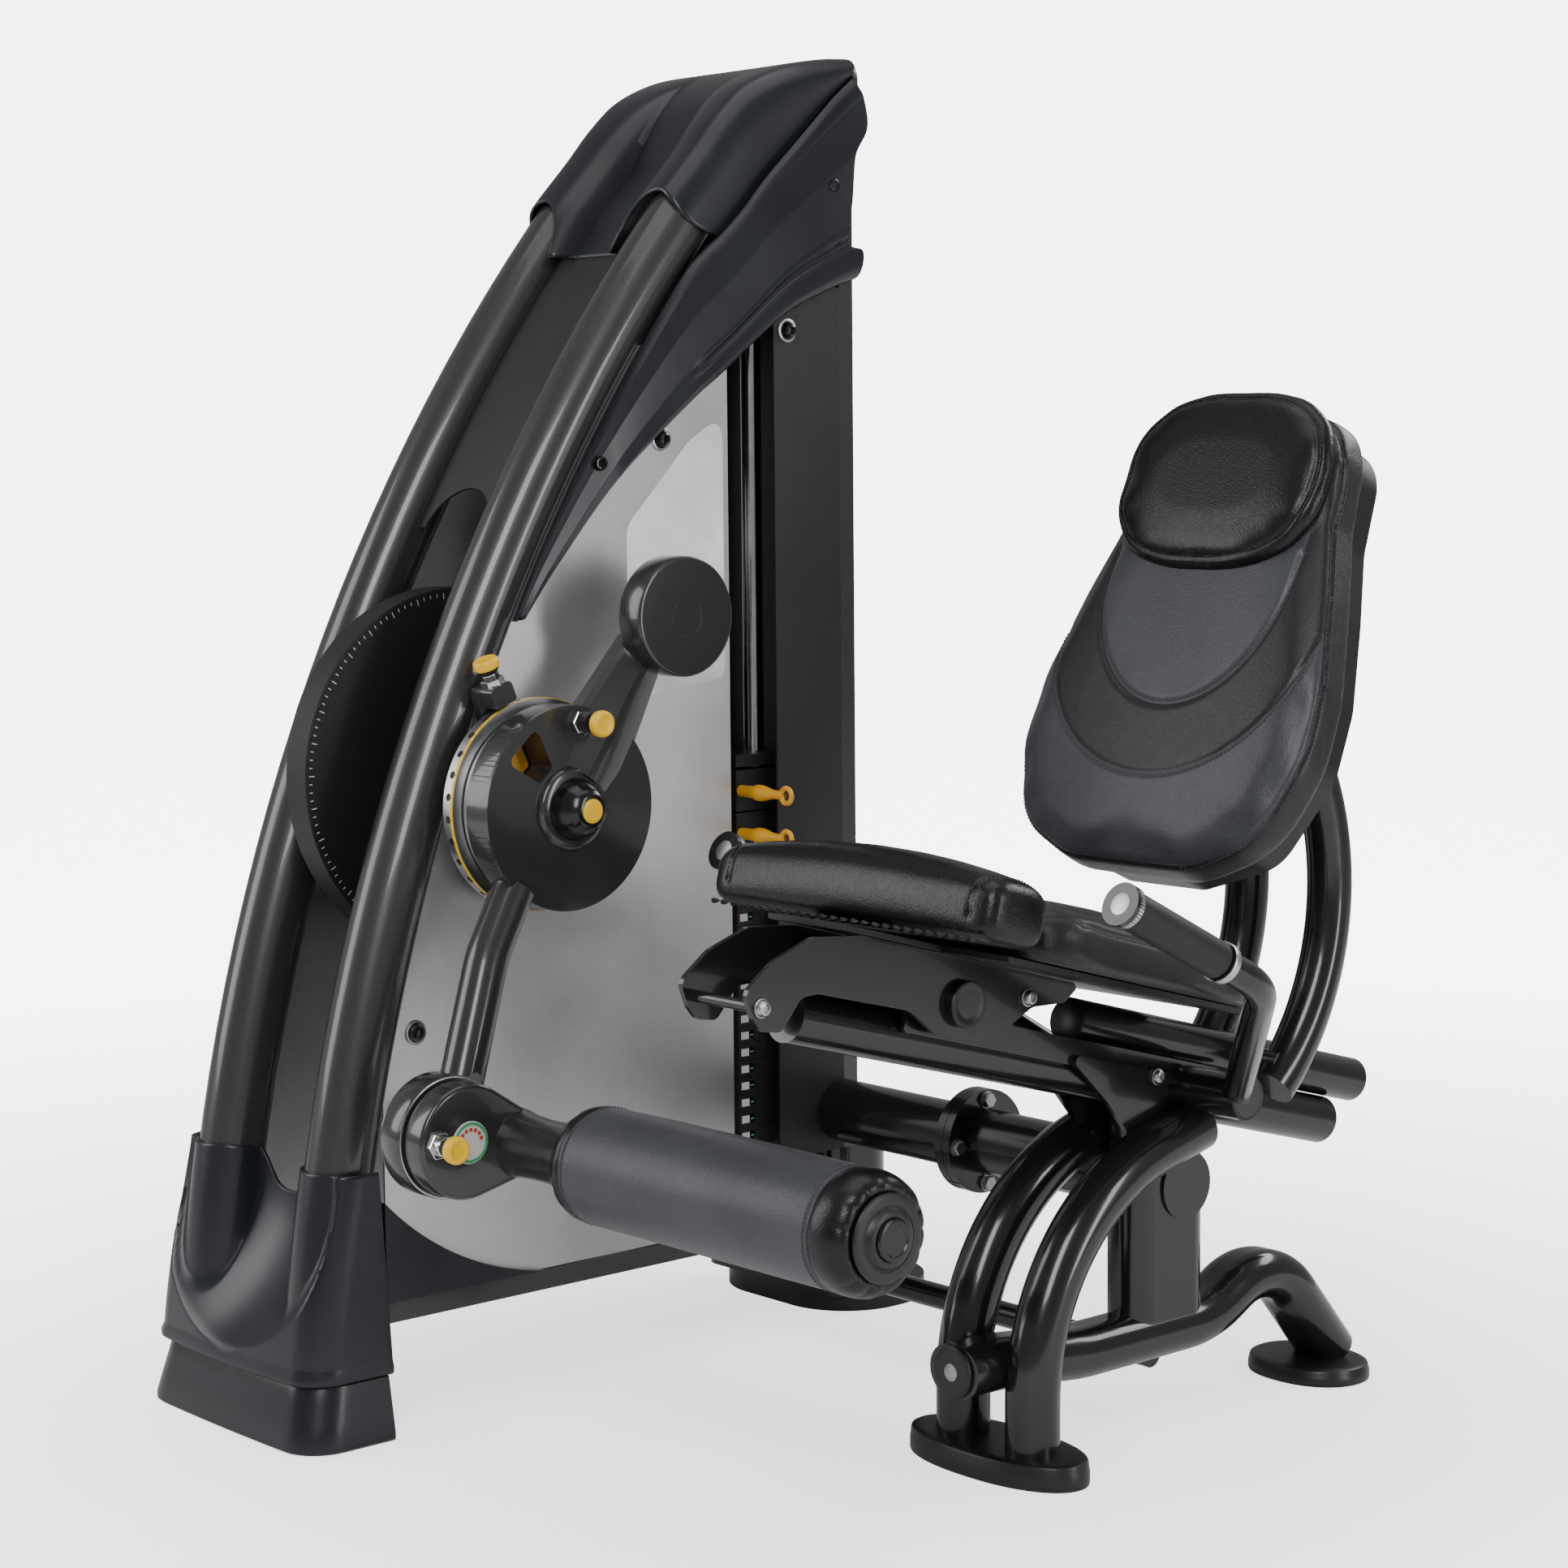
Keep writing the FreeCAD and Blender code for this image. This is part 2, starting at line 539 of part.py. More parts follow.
ring_holes = []
for i in range(16):
    angle = math.radians(100 + i * 12)
    direction = (0, math.cos(angle), math.sin(angle))
    start = (-187, SIZES["hub_y"] + direction[1] * 108, SIZES["hub_z"] + direction[2] * 108)
    ring_holes.append(straight_tube("ring_hole_%d" % i, 4.2, start, direction, 20))
ring_blank = cylinder("range_ring_blank", dim("ring_r"), 18, -196, *HUB)
ring_bore = cylinder("range_ring_bore", "45 + dims.play", 40, -206, *HUB)
node(cut("range_ring", ring_blank, ring_holes + [ring_bore]), "range_ring")

index_holes = []
for i in range(9):
    angle = math.radians(21.5 + i * 15)
    y = SIZES["hub_y"] + math.cos(angle) * 95
    z = SIZES["hub_z"] + math.sin(angle) * 95
    index_holes.append(cylinder("index_hole_%d" % i, 4.2, 10, -170, y, z))
index_blank = cylinder("index_disc_blank", 105, 13, -176, *HUB)
index_bore = cylinder("index_disc_bore", dim("shaft_r"), 40, -190, *HUB)
node(cut("index_disc", index_blank, index_holes + [index_bore]), "index_disc")

shaft = cylinder("shaft", dim("shaft_r"), 377.5, -499, *HUB)
cap_base = cylinder("cap_base", 33, 18, -121.5, *HUB)
cap_dome = doc.addObject("Part::Cone", "cap_dome")
cap_dome.Radius1 = 33
cap_dome.Radius2 = 20
cap_dome.Height = 22
place(cap_dome, -103.5, *HUB, TURN["x"])
node(fuse("hub_shaft", [shaft, cap_base, cap_dome]), "hub_shaft")

cam_blank = cylinder("cam_blank", dim("cam_r"), dim("cam_t"), "dims.tower_x - dims.cam_t / 2", -245, 710)
cam_bore = cylinder("cam_bore", dim("shaft_r"), 80, "dims.tower_x - 40", *HUB)
node(cut("cam_disc", cam_blank, [cam_bore]), "cam_disc")
node(ring("belt_drum", dim("drum_r"), dim("shaft_r"), dim("drum_t"), -424), "belt_drum")

WEIGHT = V(-118, 888, 0)
hub_point = V(SIZES["hub_y"], SIZES["hub_z"], 0)
reach = WEIGHT - hub_point
arm_angle = math.degrees(math.atan2(reach.y, reach.x))
disc = cylinder("lever_disc_blank", dim("disc_r"), 38, -160, *HUB)
arm = plate("weight_arm", rounded([(70, -32, 4), (246, -21, 20), (246, 21, 20), (70, 32, 4)]), 24,
            -148, -255, 683, turn=FreeCAD.Rotation(V(1, 0, 0), arm_angle))
LEG_START = (-141, -322, 597)
LEG_BEND = (-120, -373, 532)
LEG_END = (-80, -440, 405)
lug = straight_tube("leg_lug", 18.5, (-141, -300, 625), (0, -0.618, -0.786), 36)
pin_nut = cylinder("lever_pin_nut", 11, 22, -122, -241, 777)
lever_bore = cylinder("lever_bore", "dims.shaft_r + dims.play", 60, -170, *HUB)
pin_bore = cylinder("lever_pin_bore", "dims.pin_r + dims.play", 90, -170, -241, 777)
window_plan = [(50, -14, 4), (98, -30, 8), (98, 24, 8), (50, 10, 4)]
window = plate("lever_window", rounded(window_plan), 60, -170, -255, 683,
               turn=FreeCAD.Rotation(V(1, 0, 0), 133))
lever_solid = fuse("lever_fused", [disc, arm, lug, pin_nut])
node(cut("lever_disc", lever_solid, [lever_bore, pin_bore, window]), "lever_disc")
node(cylinder("counterweight", dim("weight_r"), dim("weight_t"), -123.5, WEIGHT.x, WEIGHT.y), "counterweight")
lever_bar = cylinder("lever_pin_bar", dim("pin_r"), 70, -162.5, -241, 777)
lever_knob = cylinder("lever_pin_knob", dim("knob_r"), 15, -92.5, -241, 777)
node(fuse("lever_pin", [lever_bar, lever_knob]), "lever_pin")

JOINT = (dim("joint_y"), dim("joint_z"))
leg_tube = bent_tube_3d("leg_tube", dim("arm_tube_r"), LEG_START, LEG_BEND, LEG_END, 130)
joint_base = cylinder("joint_base", dim("joint_r"), 34, -95, *JOINT)
pivot = cylinder("joint_pivot", 12, 32, -62, *JOINT)
joint_room = cylinder("joint_room", 75, 60, -60.6, *JOINT)
trimmed = cut("lower_arm_trimmed", fuse("lower_arm_body", [leg_tube, joint_base]), [joint_room])
arm_whole = fuse("lower_arm_whole", [trimmed, pivot])
disc_room = cylinder("disc_room", "dims.disc_r", 38, -160, *HUB)
node(cut("lower_arm", arm_whole, [disc_room, lug]), "lower_arm")

# ---------------------------------------------------------------- link and roller
ROLLER = (dim("roller_y"), dim("roller_z"))
link_face = cylinder("link_face", dim("link_r"), 35, -60, *JOINT)
link_web = plate("link_web", rounded([(-20, -58, 10), (67, -47, 30), (105, 0, 30), (67, 30, 30),
                                      (-20, 58, 10)]), 32, -58, -467, 359)
link_boss = cylinder("link_boss", 34, 127, -52, *ROLLER)
link_nut = cylinder("link_nut", 11, 16, -26, -508, 362)
dial = cylinder("link_dial", 22, 3, -26, *JOINT)
pivot_bore = cylinder("pivot_bore", "12 + dims.play", 33, -63, *JOINT)
link_pin_bore = cylinder("link_pin_bore", "dims.pin_r + dims.play", 80, -70, -508, 362)
axle_bore = cylinder("axle_bore", dim("axle_r"), 40, 50, *ROLLER)
link_solid = fuse("link_fused", [link_face, link_web, link_boss, link_nut, dial])
node(cut("link_casting", link_solid, [pivot_bore, link_pin_bore, axle_bore]), "link_casting")
link_bar = cylinder("link_pin_bar", dim("pin_r"), 58, -60.2, -508, 362)
link_knob = cylinder("link_pin_knob", dim("knob_r"), 15, -2.2, -508, 362)
node(fuse("link_pin", [link_bar, link_knob]), "link_pin")

axle_rod = cylinder("axle_rod", dim("axle_r"), 490, 50, *ROLLER)
axle_cap = cylinder("axle_cap", 20, 7, 539.5, *ROLLER)
node(fuse("roller_axle", [axle_rod, axle_cap]), "roller_axle")
spool_tube = cylinder("spool_tube", 20, "dims.roller_len + 10", 85, *ROLLER)
spool_ends = [cylinder("spool_end_%d" % i, 44, 9, x, *ROLLER) for i, x in ((0, 80), (1, 530))]
spool_bore = cylinder("spool_bore", "dims.axle_r + dims.play", 600, 20, *ROLLER)
node(cut("roller_spool", fuse("spool_fused", [spool_tube] + spool_ends), [spool_bore]), "roller_spool")
pad_blank = cylinder("roller_pad_blank", dim("roller_r"), dim("roller_len"), 89.5, *ROLLER)
pad_bore = cylinder("roller_pad_bore", 20, 600, 20, *ROLLER)
node(cut("roller_pad", pad_blank, [pad_bore]), "roller_pad")

# ---------------------------------------------------------------- seat frame
SLOPE = V(0.965, -0.262, 0)
SLOPE_UP = V(0.262, 0.965, 0)


def along_rail(s, up=0.0):
    """Point at a distance along the sloping main tube and above its axis."""
    return V(-327, 518, 0) + SLOPE * s + SLOPE_UP * up


front_plan = [(-106, -47, 44), (106, -47, 44), (106, 47, 44), (-106, 47, 44)]
front_foot = plate("front_foot", rounded(front_plan), 28, dim("seat_x"), -28, 0, "XY_Plane")
leg_path = rounded([(-34, 28), (-34, 274, 250), (222, 338)], False)
leg_near = tube("front_leg_near", leg_path, dim("leg_tube_r"), "dims.seat_x + dims.leg_half")
legs = pair("front_legs", leg_near, "seat_x")
node(legs, "front_legs")

rear_plan = [(-65, -52.5, 50), (65, -52.5, 50), (65, 52.5, 50), (-65, 52.5, 50)]
rear_foot = plate("rear_foot", rounded(rear_plan), 20, dim("seat_x"), 476, 0, "XY_Plane")
node(group("seat_feet", [front_foot, rear_foot]), "seat_feet")

rail_body = doc.addObject("PartDesign::Body", "base_rail_body")
rail_path = rounded([(-98, 114), (-40, 114, 300), (80, 101, 300), (285, 101, 150),
                     (392, 158, 85), (505, 26)], False)
rail_spine = sketch_on(rail_body, "base_rail_path", "YZ_Plane", rail_path)
rail_section = sketch_on(rail_body, "base_rail_section", "XZ_Plane",
                         slot_outline(SIZES["rail_w"] / 2, SIZES["rail_h"] / 2))
rail_section.AttachmentOffset = FreeCAD.Placement(V(0, 114, 98), FreeCAD.Rotation())
rail_sweep = rail_body.newObject("PartDesign::AdditivePipe", "base_rail_sweep")
rail_sweep.Profile = rail_section
rail_sweep.Spine = (rail_spine, ["Edge%d" % (i + 1) for i in range(len(rail_path))])
rail_body.Tip = rail_sweep
place(rail_body, dim("seat_x"), 0, 0)
node(cut("base_rail", rail_body, [legs, rear_foot]), "base_rail")

beam = cylinder("mid_beam_tube", dim("beam_r"), dim("beam_len"), -215, 227, 266)
flanges = [cylinder("flange_%d" % i, 61, 11.5, x, 227, 266) for i, x in ((0, 10), (1, 22.5))]
node(fuse("mid_beam", [beam] + flanges), "mid_beam")
beam_room = cylinder("beam_room", dim("beam_r"), "dims.beam_len + 5", -215, 227, 266)
main_room = straight_tube("main_room", dim("main_tube_r"), (312, -327, 518), (0, 0.965, -0.262), 900)
post_plan = [(-30, -60, 28), (30, -60, 28), (30, 60, 28), (-30, 60, 28)]
post_blank = plate("post_blank", rounded(post_plan), 246, dim("seat_x"), 210, 118, "XY_Plane")
node(cut("seat_post", post_blank, [beam_room, legs, main_room, rail_body]), "seat_post")

bracket_plan = [(29, 439, 6), (228, 386, 6), (228, 337, 4), (143, 318, 10), (90, 380, 40)]
bracket_near = plate("bracket_near", rounded(bracket_plan), 6, "dims.seat_x + 34", 0, 0)
brackets = cut("post_brackets", pair("bracket_pair", bracket_near, "seat_x"), [legs])

cross_blank = cylinder("cross_tube_blank", 15, 511, -236, 247, 57.5)
node(cut("cross_tube", cross_blank, [rear_leg]), "cross_tube")

node(straight_tube("main_tube", dim("main_tube_r"), (312, -327, 518), (0, 0.965, -0.262), 846),
     "main_tube")


def strip(low_s, high_s, low_up, high_up, soft=5):
    """A straight bar outline parallel to the main tube."""
    corners = [along_rail(low_s, low_up), along_rail(high_s, low_up),
               along_rail(high_s, high_up), along_rail(low_s, high_up)]
    return rounded([(p.x, p.y, soft) for p in corners])


guide_near = plate("guide_near", strip(130, 635, 6, 34), 5.5, "dims.seat_x + 28")
guide_far = mirrored("guide_far", guide_near, "seat_x")
node(group("guide_plates", [brackets, guide_near, guide_far]), "guide_plates")

SIDE = [(-414, 532, 14), (-403, 518, 12), (-378, 514, 10), (-351, 545, 14), (-330, 546, 14),
        (-206, 514, 40), (-172, 486, 40), (-115, 473, 40), (-68, 481, 40), (-33, 497, 20),
        (14, 496, 10), (34, 509, 4), (28, 516, 4), (-271, 597, 6), (-335, 602, 20),
        (-387, 584, 40), (-423, 557, 12)]
side_near = plate("side_plate_near", rounded(SIDE), dim("side_plate_t"), "dims.seat_x + 45")
side_cap = cylinder("side_cap", 24, 9, "dims.seat_x + 51", -134, 513)
cross_pins = [cylinder("cross_pin_%d" % i, 6, 96, "dims.seat_x - 48", y, z)
              for i, (y, z) in enumerate(((-403, 541), (-40, 508)))]
sides = pair("side_pair", fuse("side_near_fused", [side_near, side_cap]), "seat_x")
node(cut("seat_sides", fuse("seat_sides_fused", [sides] + cross_pins), [main_room]), "seat_sides")


def pan_z(y, above=0.0):
    return 619 - 0.2715 * (y + 326) + above


def pan_strip(name, low_y, high_y, width):
    """A flat length of the board under the cushions, centred on the seat."""
    plan = rounded([(low_y, pan_z(low_y, -6)), (high_y, pan_z(high_y, -6)),
                    (high_y, pan_z(high_y)), (low_y, pan_z(low_y))])
    return plate(name, plan, width, "dims.seat_x - %g" % (width / 2))


node(fuse("seat_pan", [pan_strip("pan_rear", -168, 206, 300), pan_strip("pan_front", -300, -160, 112)]),
     "seat_pan")


def tilted(points, y, z, angle):
    """Turn an outline drawn about its own centre and carry it to a position."""
    c = math.cos(math.radians(angle))
    s = math.sin(math.radians(angle))
    return [(y + u * c - v * s, z + u * s + v * c, r) for u, v, r in points]


bolster_plan = [(-44, -37, 24), (44, -37, 24), (44, 37, 34), (-44, 37, 34)]
node(plate("bolster", rounded(tilted(bolster_plan, -205, 630, -15.2)), dim("bolster_len"),
           "dims.seat_x - dims.bolster_len / 2"), "bolster")
cushion_plan = [(-159, pan_z(-159, 1), 8), (200, pan_z(200, 1), 8), (212, 498, 14), (150, 544, 60),
                (-26, 598, 90), (-146, 616, 14)]
node(plate("seat_cushion", rounded(cushion_plan), "2 * dims.seat_half", "dims.seat_x - dims.seat_half"),
     "seat_cushion")

# ---------------------------------------------------------------- handles
HANDLE_Y, HANDLE_Z = 214, 378
cross_near = cylinder("handle_cross_near", dim("cross_r"), 90, "dims.seat_x + 40.5", HANDLE_Y, HANDLE_Z)
H_START = (425, 214, 378)
H_BEND = (606, 44, 538)
H_END = (602, -149, 636)
grip_dir = (V(*H_END) - V(*H_BEND)).normalize()
handle_bent = bent_tube_3d("handle_bent", dim("handle_r"), H_START, H_BEND, H_END, 90)
cap_at = V(*H_END)
handle_cap = straight_tube("handle_cap", 22, tuple(cap_at), tuple(grip_dir), 12)
ring_at = V(*H_END) - grip_dir * 152
handle_ring = straight_tube("handle_ring", 21, tuple(ring_at), tuple(grip_dir), 10)
handle_near = fuse("handle_near", [cross_near, handle_bent, handle_cap, handle_ring])
handle_pair = pair("handle_pair", handle_near, "seat_x")
node(cut("handles", handle_pair, [legs]), "handles")
grip_at = V(*H_END) - grip_dir * 141
grip_blank = straight_tube("grip_blank", dim("grip_r"), tuple(grip_at), tuple(grip_dir), 140)
grip_bore = straight_tube("grip_bore", dim("handle_r"), tuple(grip_at - grip_dir * 5), tuple(grip_dir), 150)
node(pair("grips", cut("grip_near", grip_blank, [grip_bore]), "seat_x"), "grips")

# ---------------------------------------------------------------- backrest carriage
carriage_at = along_rail(400, 52.4)
carriage_tube = straight_tube("carriage_tube", dim("carriage_r"), (312, carriage_at.x, carriage_at.y),
                              (0, 0.965, -0.262), 490)
crossbar = cylinder("carriage_crossbar", 15, 134, "dims.seat_x - 67", 345, 388)
c_path = [Part.Arc(V(336, 363, 0), V(432, 600, 0), V(345, 790, 0))]
c_near = tube("c_tube_near", c_path, dim("c_tube_r"), "dims.seat_x + dims.c_half")
node(cut("carriage_frame", fuse("carriage_fused", [carriage_tube, crossbar, pair("c_pair", c_near, "seat_x")]),
         [main_room]), "carriage_frame")

RECLINE = FreeCAD.Rotation(V(1, 0, 0), 66)
BACK = [(-60, 3, 40), (60, 3, 40), (160, 40, 60), (203, 140, 90), (200, 225, 90), (175, 330, 120),
        (151, 415, 90), (138, 545, 70), (-138, 545, 70), (-151, 415, 90), (-175, 330, 120),
        (-200, 225, 90), (-203, 140, 90), (-160, 40, 60)]
back_pad = plate("backrest_pad", rounded(BACK), dim("back_t"), dim("seat_x"),
                 "dims.back_y + 0.914 * dims.back_t", "dims.back_z - 0.407 * dims.back_t", "XY_Plane", RECLINE)
node(back_pad, "backrest_pad")
BOARD = [(u * 0.93, 14 + (v - 3) * 0.95, r * 0.9) for u, v, r in BACK]
board = plate("back_board", rounded(BOARD), dim("board_t"), dim("seat_x"),
              "dims.back_y + 0.914 * (dims.back_t + dims.board_t + 0.1)",
              "dims.back_z - 0.407 * (dims.back_t + dims.board_t + 0.1)", "XY_Plane", RECLINE)
node(board, "back_board")
HEAD = [(-140, 351, 80), (140, 351, 80), (140, 549, 95), (-140, 549, 95)]
node(plate("head_pillow", rounded(HEAD), "dims.head_t - 6", dim("seat_x"), "dims.back_y - 0.914 * 0.4",
           "dims.back_z + 0.407 * 0.4", "XY_Plane", RECLINE), "head_pillow")

# ---------------------------------------------------------------- fasteners
BOLTS = [(-217.5, -44, 1084), (-216.5, 149, 1210), (-217.5, -400, 441), (-217.5, 20, 420),
         (352.2, 170, 395), (345.6, 250, 373)]
heads = [cylinder("bolt_head_%d" % i, 9, 7, *spot) for i, spot in enumerate(BOLTS)]
flange_bolts = [cylinder("flange_bolt_%d" % i, 7, 8, 34.5, 227 + dy, 266 + dz)
                for i, (dy, dz) in enumerate(((0, 49), (0, -49), (49, 0), (-49, 0)))]
node(group("frame_bolts", heads + flange_bolts), "frame_bolts")

# ---------------------------------------------------------------- check and write
doc.recompute()
for obj in doc.Objects:
    if "Invalid" in obj.State or "Error" in obj.State:
        raise RuntimeError("%s did not build: %s" % (obj.Label, obj.State))
for obj in NODES:
    if obj.Shape.isNull() or not obj.Shape.isValid():
        raise RuntimeError("%s has no valid shape" % obj.Label)
os.makedirs("parts", exist_ok=True)
for obj in NODES:
    obj.Shape.exportStep("parts/%s.step" % obj.Label)
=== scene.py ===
import json
import math

import bmesh
import bpy
import numpy as np
from mathutils import Matrix, Vector
from mathutils.bvhtree import BVHTree


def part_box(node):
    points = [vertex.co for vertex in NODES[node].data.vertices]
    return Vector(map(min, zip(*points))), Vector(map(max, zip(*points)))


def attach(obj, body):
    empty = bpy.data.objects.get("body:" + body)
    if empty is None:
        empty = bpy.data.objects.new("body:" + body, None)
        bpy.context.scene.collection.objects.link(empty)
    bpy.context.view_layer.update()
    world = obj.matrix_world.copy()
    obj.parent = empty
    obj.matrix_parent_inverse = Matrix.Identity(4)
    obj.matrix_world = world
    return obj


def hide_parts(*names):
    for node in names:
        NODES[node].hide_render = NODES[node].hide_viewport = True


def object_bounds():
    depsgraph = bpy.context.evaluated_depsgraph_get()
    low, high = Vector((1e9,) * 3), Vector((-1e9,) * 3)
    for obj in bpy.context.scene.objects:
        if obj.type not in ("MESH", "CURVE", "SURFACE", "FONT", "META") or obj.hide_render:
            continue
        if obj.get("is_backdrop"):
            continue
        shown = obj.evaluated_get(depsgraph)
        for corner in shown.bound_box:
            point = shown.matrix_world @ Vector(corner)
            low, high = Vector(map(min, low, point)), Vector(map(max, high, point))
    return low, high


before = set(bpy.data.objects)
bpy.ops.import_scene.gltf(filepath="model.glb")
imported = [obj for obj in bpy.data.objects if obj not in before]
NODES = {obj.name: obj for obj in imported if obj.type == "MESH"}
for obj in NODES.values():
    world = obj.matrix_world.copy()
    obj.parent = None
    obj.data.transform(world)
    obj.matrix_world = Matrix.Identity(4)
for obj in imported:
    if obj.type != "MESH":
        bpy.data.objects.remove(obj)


def report_size(stage):
    lo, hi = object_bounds()
    SIZE_LINES[stage] = {"low": [round(x, 5) for x in lo], "high": [round(x, 5) for x in hi]}
    "\n".join(json.dumps({k: v}) for k, v in SIZE_LINES.items()) + "\n"


SIZE_LINES = {}
report_size("cad")


# ------------------------------------------------------------------ anchors
def centre(node):
    lo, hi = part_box(node)
    return (lo + hi) / 2


seat_mid = centre("seat_cushion")
hub_mid = centre("belt_drum")
ORIGIN = Vector((seat_mid.x - 0.312, hub_mid.y + 0.255, 0.0))


def P(x, y, z):
    """A drawing position in millimetres as a point in the frame."""
    return Vector((ORIGIN.x + x / 1000, ORIGIN.y + y / 1000, z / 1000))


TOWER = -362.0
SEAT = 312.0
HUB = (-255.0, 683.0)
JOINT = (-467, 359)
ROLLER = (-400, 347)
WEIGHT = (-118, 888)
START_KNOB = (-241, 777)
ANKLE_KNOB = (-26.5, -508, 362)
ARCH = (1708.3, -106.4, 2223.8)


def arch(z, offset=0.0):
    """Y of the tower arch at a height; a positive offset is outwards."""
    r = ARCH[2] + offset
    return ARCH[0] - math.sqrt(r * r - (z - ARCH[1]) ** 2)


# ------------------------------------------------------------------ materials
def new_material(name):
    m = bpy.data.materials.new(name)
    m.use_nodes = True
    t = m.node_tree
    t.nodes.clear()
    out = t.nodes.new("ShaderNodeOutputMaterial")
    bsdf = t.nodes.new("ShaderNodeBsdfPrincipled")
    t.links.new(bsdf.outputs[0], out.inputs[0])
    return m, t, bsdf


def feed(t, node, inputs):
    """Sets a node's sockets: a plain value is stored, another node's socket is linked."""
    for key, x in inputs.items():
        if isinstance(x, bpy.types.NodeSocket):
            t.links.new(x, node.inputs[key])
        else:
            node.inputs[key].default_value = x
    return node


def add(t, kind, inputs, out=0, **settings):
    """Makes a shader node and returns one of its outputs."""
    node = t.nodes.new("ShaderNode" + kind)
    for key, x in settings.items():
        setattr(node, key, x)
    return feed(t, node, inputs).outputs[out]


def ramp(t, fac, stops):
    node = t.nodes.new("ShaderNodeValToRGB")
    elements = node.color_ramp.elements
    for element, (at, colour) in zip(elements, (stops[0], stops[-1])):
        element.position = at
        element.color = (*colour, 1)
    for at, colour in stops[1:-1]:
        elements.new(at).color = (*colour, 1)
    t.links.new(fac, node.inputs[0])
    return node.outputs[0]


def coords(t, scale=(1, 1, 1)):
    return add(t, "Mapping", {"Vector": add(t, "TexCoord", {}, "Object"), "Scale": scale})


def noise(t, vec, scale, detail=4.0, rough=0.55):
    return add(t, "TexNoise", {"Vector": vec, "Scale": scale, "Detail": detail, "Roughness": rough}, "Fac")


def cells(t, vec, scale, feature="F1"):
    return add(t, "TexVoronoi", {"Vector": vec, "Scale": scale}, "Distance", feature=feature)


def maths(t, op, a, b=None):
    return add(t, "Math", {0: a} if b is None else {0: a, 1: b}, operation=op)


def scaled(t, x, gain, shift):
    return maths(t, "ADD", maths(t, "MULTIPLY", x, gain), shift)


def bump(t, bsdf, height, strength, distance=0.001):
    feed(t, bsdf,
         {"Normal": add(t, "Bump", {"Strength": strength, "Distance": distance, "Height": height})})


def edge_wear(t, radius=0.003):
    """0 on open faces, rising towards 1 on worn edges."""
    normals = {0: add(t, "Bevel", {"Radius": radius}), 1: add(t, "NewGeometry", {}, "Normal")}
    return maths(t, "SUBTRACT", 1.0, add(t, "VectorMath", normals, "Value", operation="DOT_PRODUCT"))


def mix_rgb(t, fac, a, b, blend="MIX"):
    a, b = ((*x, 1) if isinstance(x, tuple) else x for x in (a, b))
    return add(t, "Mix", {0: fac, 6: a, 7: b}, 2, data_type="RGBA", blend_type=blend)


def tone(colour, gain, lift=0.0):
    return tuple(min(1, c * gain + lift) for c in colour)


def cloudy(t, fac, colour, low, high, first=0.3, last=0.7):
    """The colour, darker by low and lighter by high, over a cloud."""
    return ramp(t, fac, [(first, tone(colour, low)), (last, tone(colour, high))])


def paint(name, colour, metallic=0.55, rough=0.27, coat=0.5, flake=0.25, peel=0.08):
    """Metallic powder coat: flakes, slight orange peel, a clear top."""
    m, t, b = new_material(name)
    v = coords(t)
    base = cloudy(t, noise(t, v, 1400, 2), colour, 1 - flake, 1 + flake)
    worn = maths(t, "MULTIPLY", edge_wear(t), 0.9)
    feed(t, b, {"Base Color": mix_rgb(t, worn, base, tone(colour, 2.2, 0.02)),
                "Metallic": metallic,
                "Roughness": scaled(t, noise(t, v, 5, 3), 0.08, rough - 0.04),
                "Coat Weight": coat,
                "Coat Roughness": 0.07})
    bump(t, b, noise(t, v, 260, 2), peel, 0.0006)
    return m


def moulded(name, colour, rough=0.42, grain=650, depth=0.16, spec=0.5, streak=0.25):
    """Moulded plastic: fine spark-eroded grain and faint cloudy sheen."""
    m, t, b = new_material(name)
    v = coords(t)
    cloud = noise(t, v, 7, 4)
    worn = maths(t, "MULTIPLY", edge_wear(t, 0.002), 0.8)
    base = cloudy(t, cloud, colour, 1 - streak, 1 + streak)
    feed(t, b, {"Base Color": mix_rgb(t, worn, base, tone(colour, 2.0, 0.015)),
                "Roughness": scaled(t, cloud, 0.12, rough - 0.06),
                "Specular IOR Level": spec})
    bump(t, b, cells(t, v, grain), depth, 0.0004)
    return m


def sheet_metal(name, colour, rough=0.36, brushed=(3, 3, 220)):
    """Satin sheet: mottled galvanised clouds with fine directional scratches."""
    m, t, b = new_material(name)
    v = coords(t)
    cloud = noise(t, v, 2.6, 5, 0.6)
    lines = noise(t, coords(t, brushed), 6, 3)
    speck = maths(t, "MULTIPLY", noise(t, v, 900, 2), 0.25)
    stops = [(0.3, tone(colour, 0.72)), (0.5, colour), (0.72, tone(colour, 1.25))]
    rough = scaled(t, cloud, 0.22, rough - 0.1)
    feed(t, b, {"Base Color": ramp(t, scaled(t, cloud, 0.75, speck), stops),
                "Metallic": 1.0,
                "Roughness": maths(t, "ADD", rough, maths(t, "MULTIPLY", lines, 0.08)),
                "Anisotropic": 0.3})
    bump(t, b, lines, 0.04, 0.0004)
    return m


def plain_metal(name, colour, rough=0.12, scratches=0.12):
    """Plated or polished metal with hairlines and faint smudges."""
    m, t, b = new_material(name)
    smudge = noise(t, coords(t), 24, 4)
    hair = noise(t, coords(t, (40, 40, 900)), 3, 2)
    rough = scaled(t, smudge, 0.1, rough)
    feed(t, b, {"Base Color": cloudy(t, smudge, colour, 0.85, 1.0, 0.35, 0.65),
                "Metallic": 1.0,
                "Roughness": maths(t, "ADD", rough, maths(t, "MULTIPLY", hair, scratches * 0.3))})
    bump(t, b, hair, scratches, 0.0002)
    return m


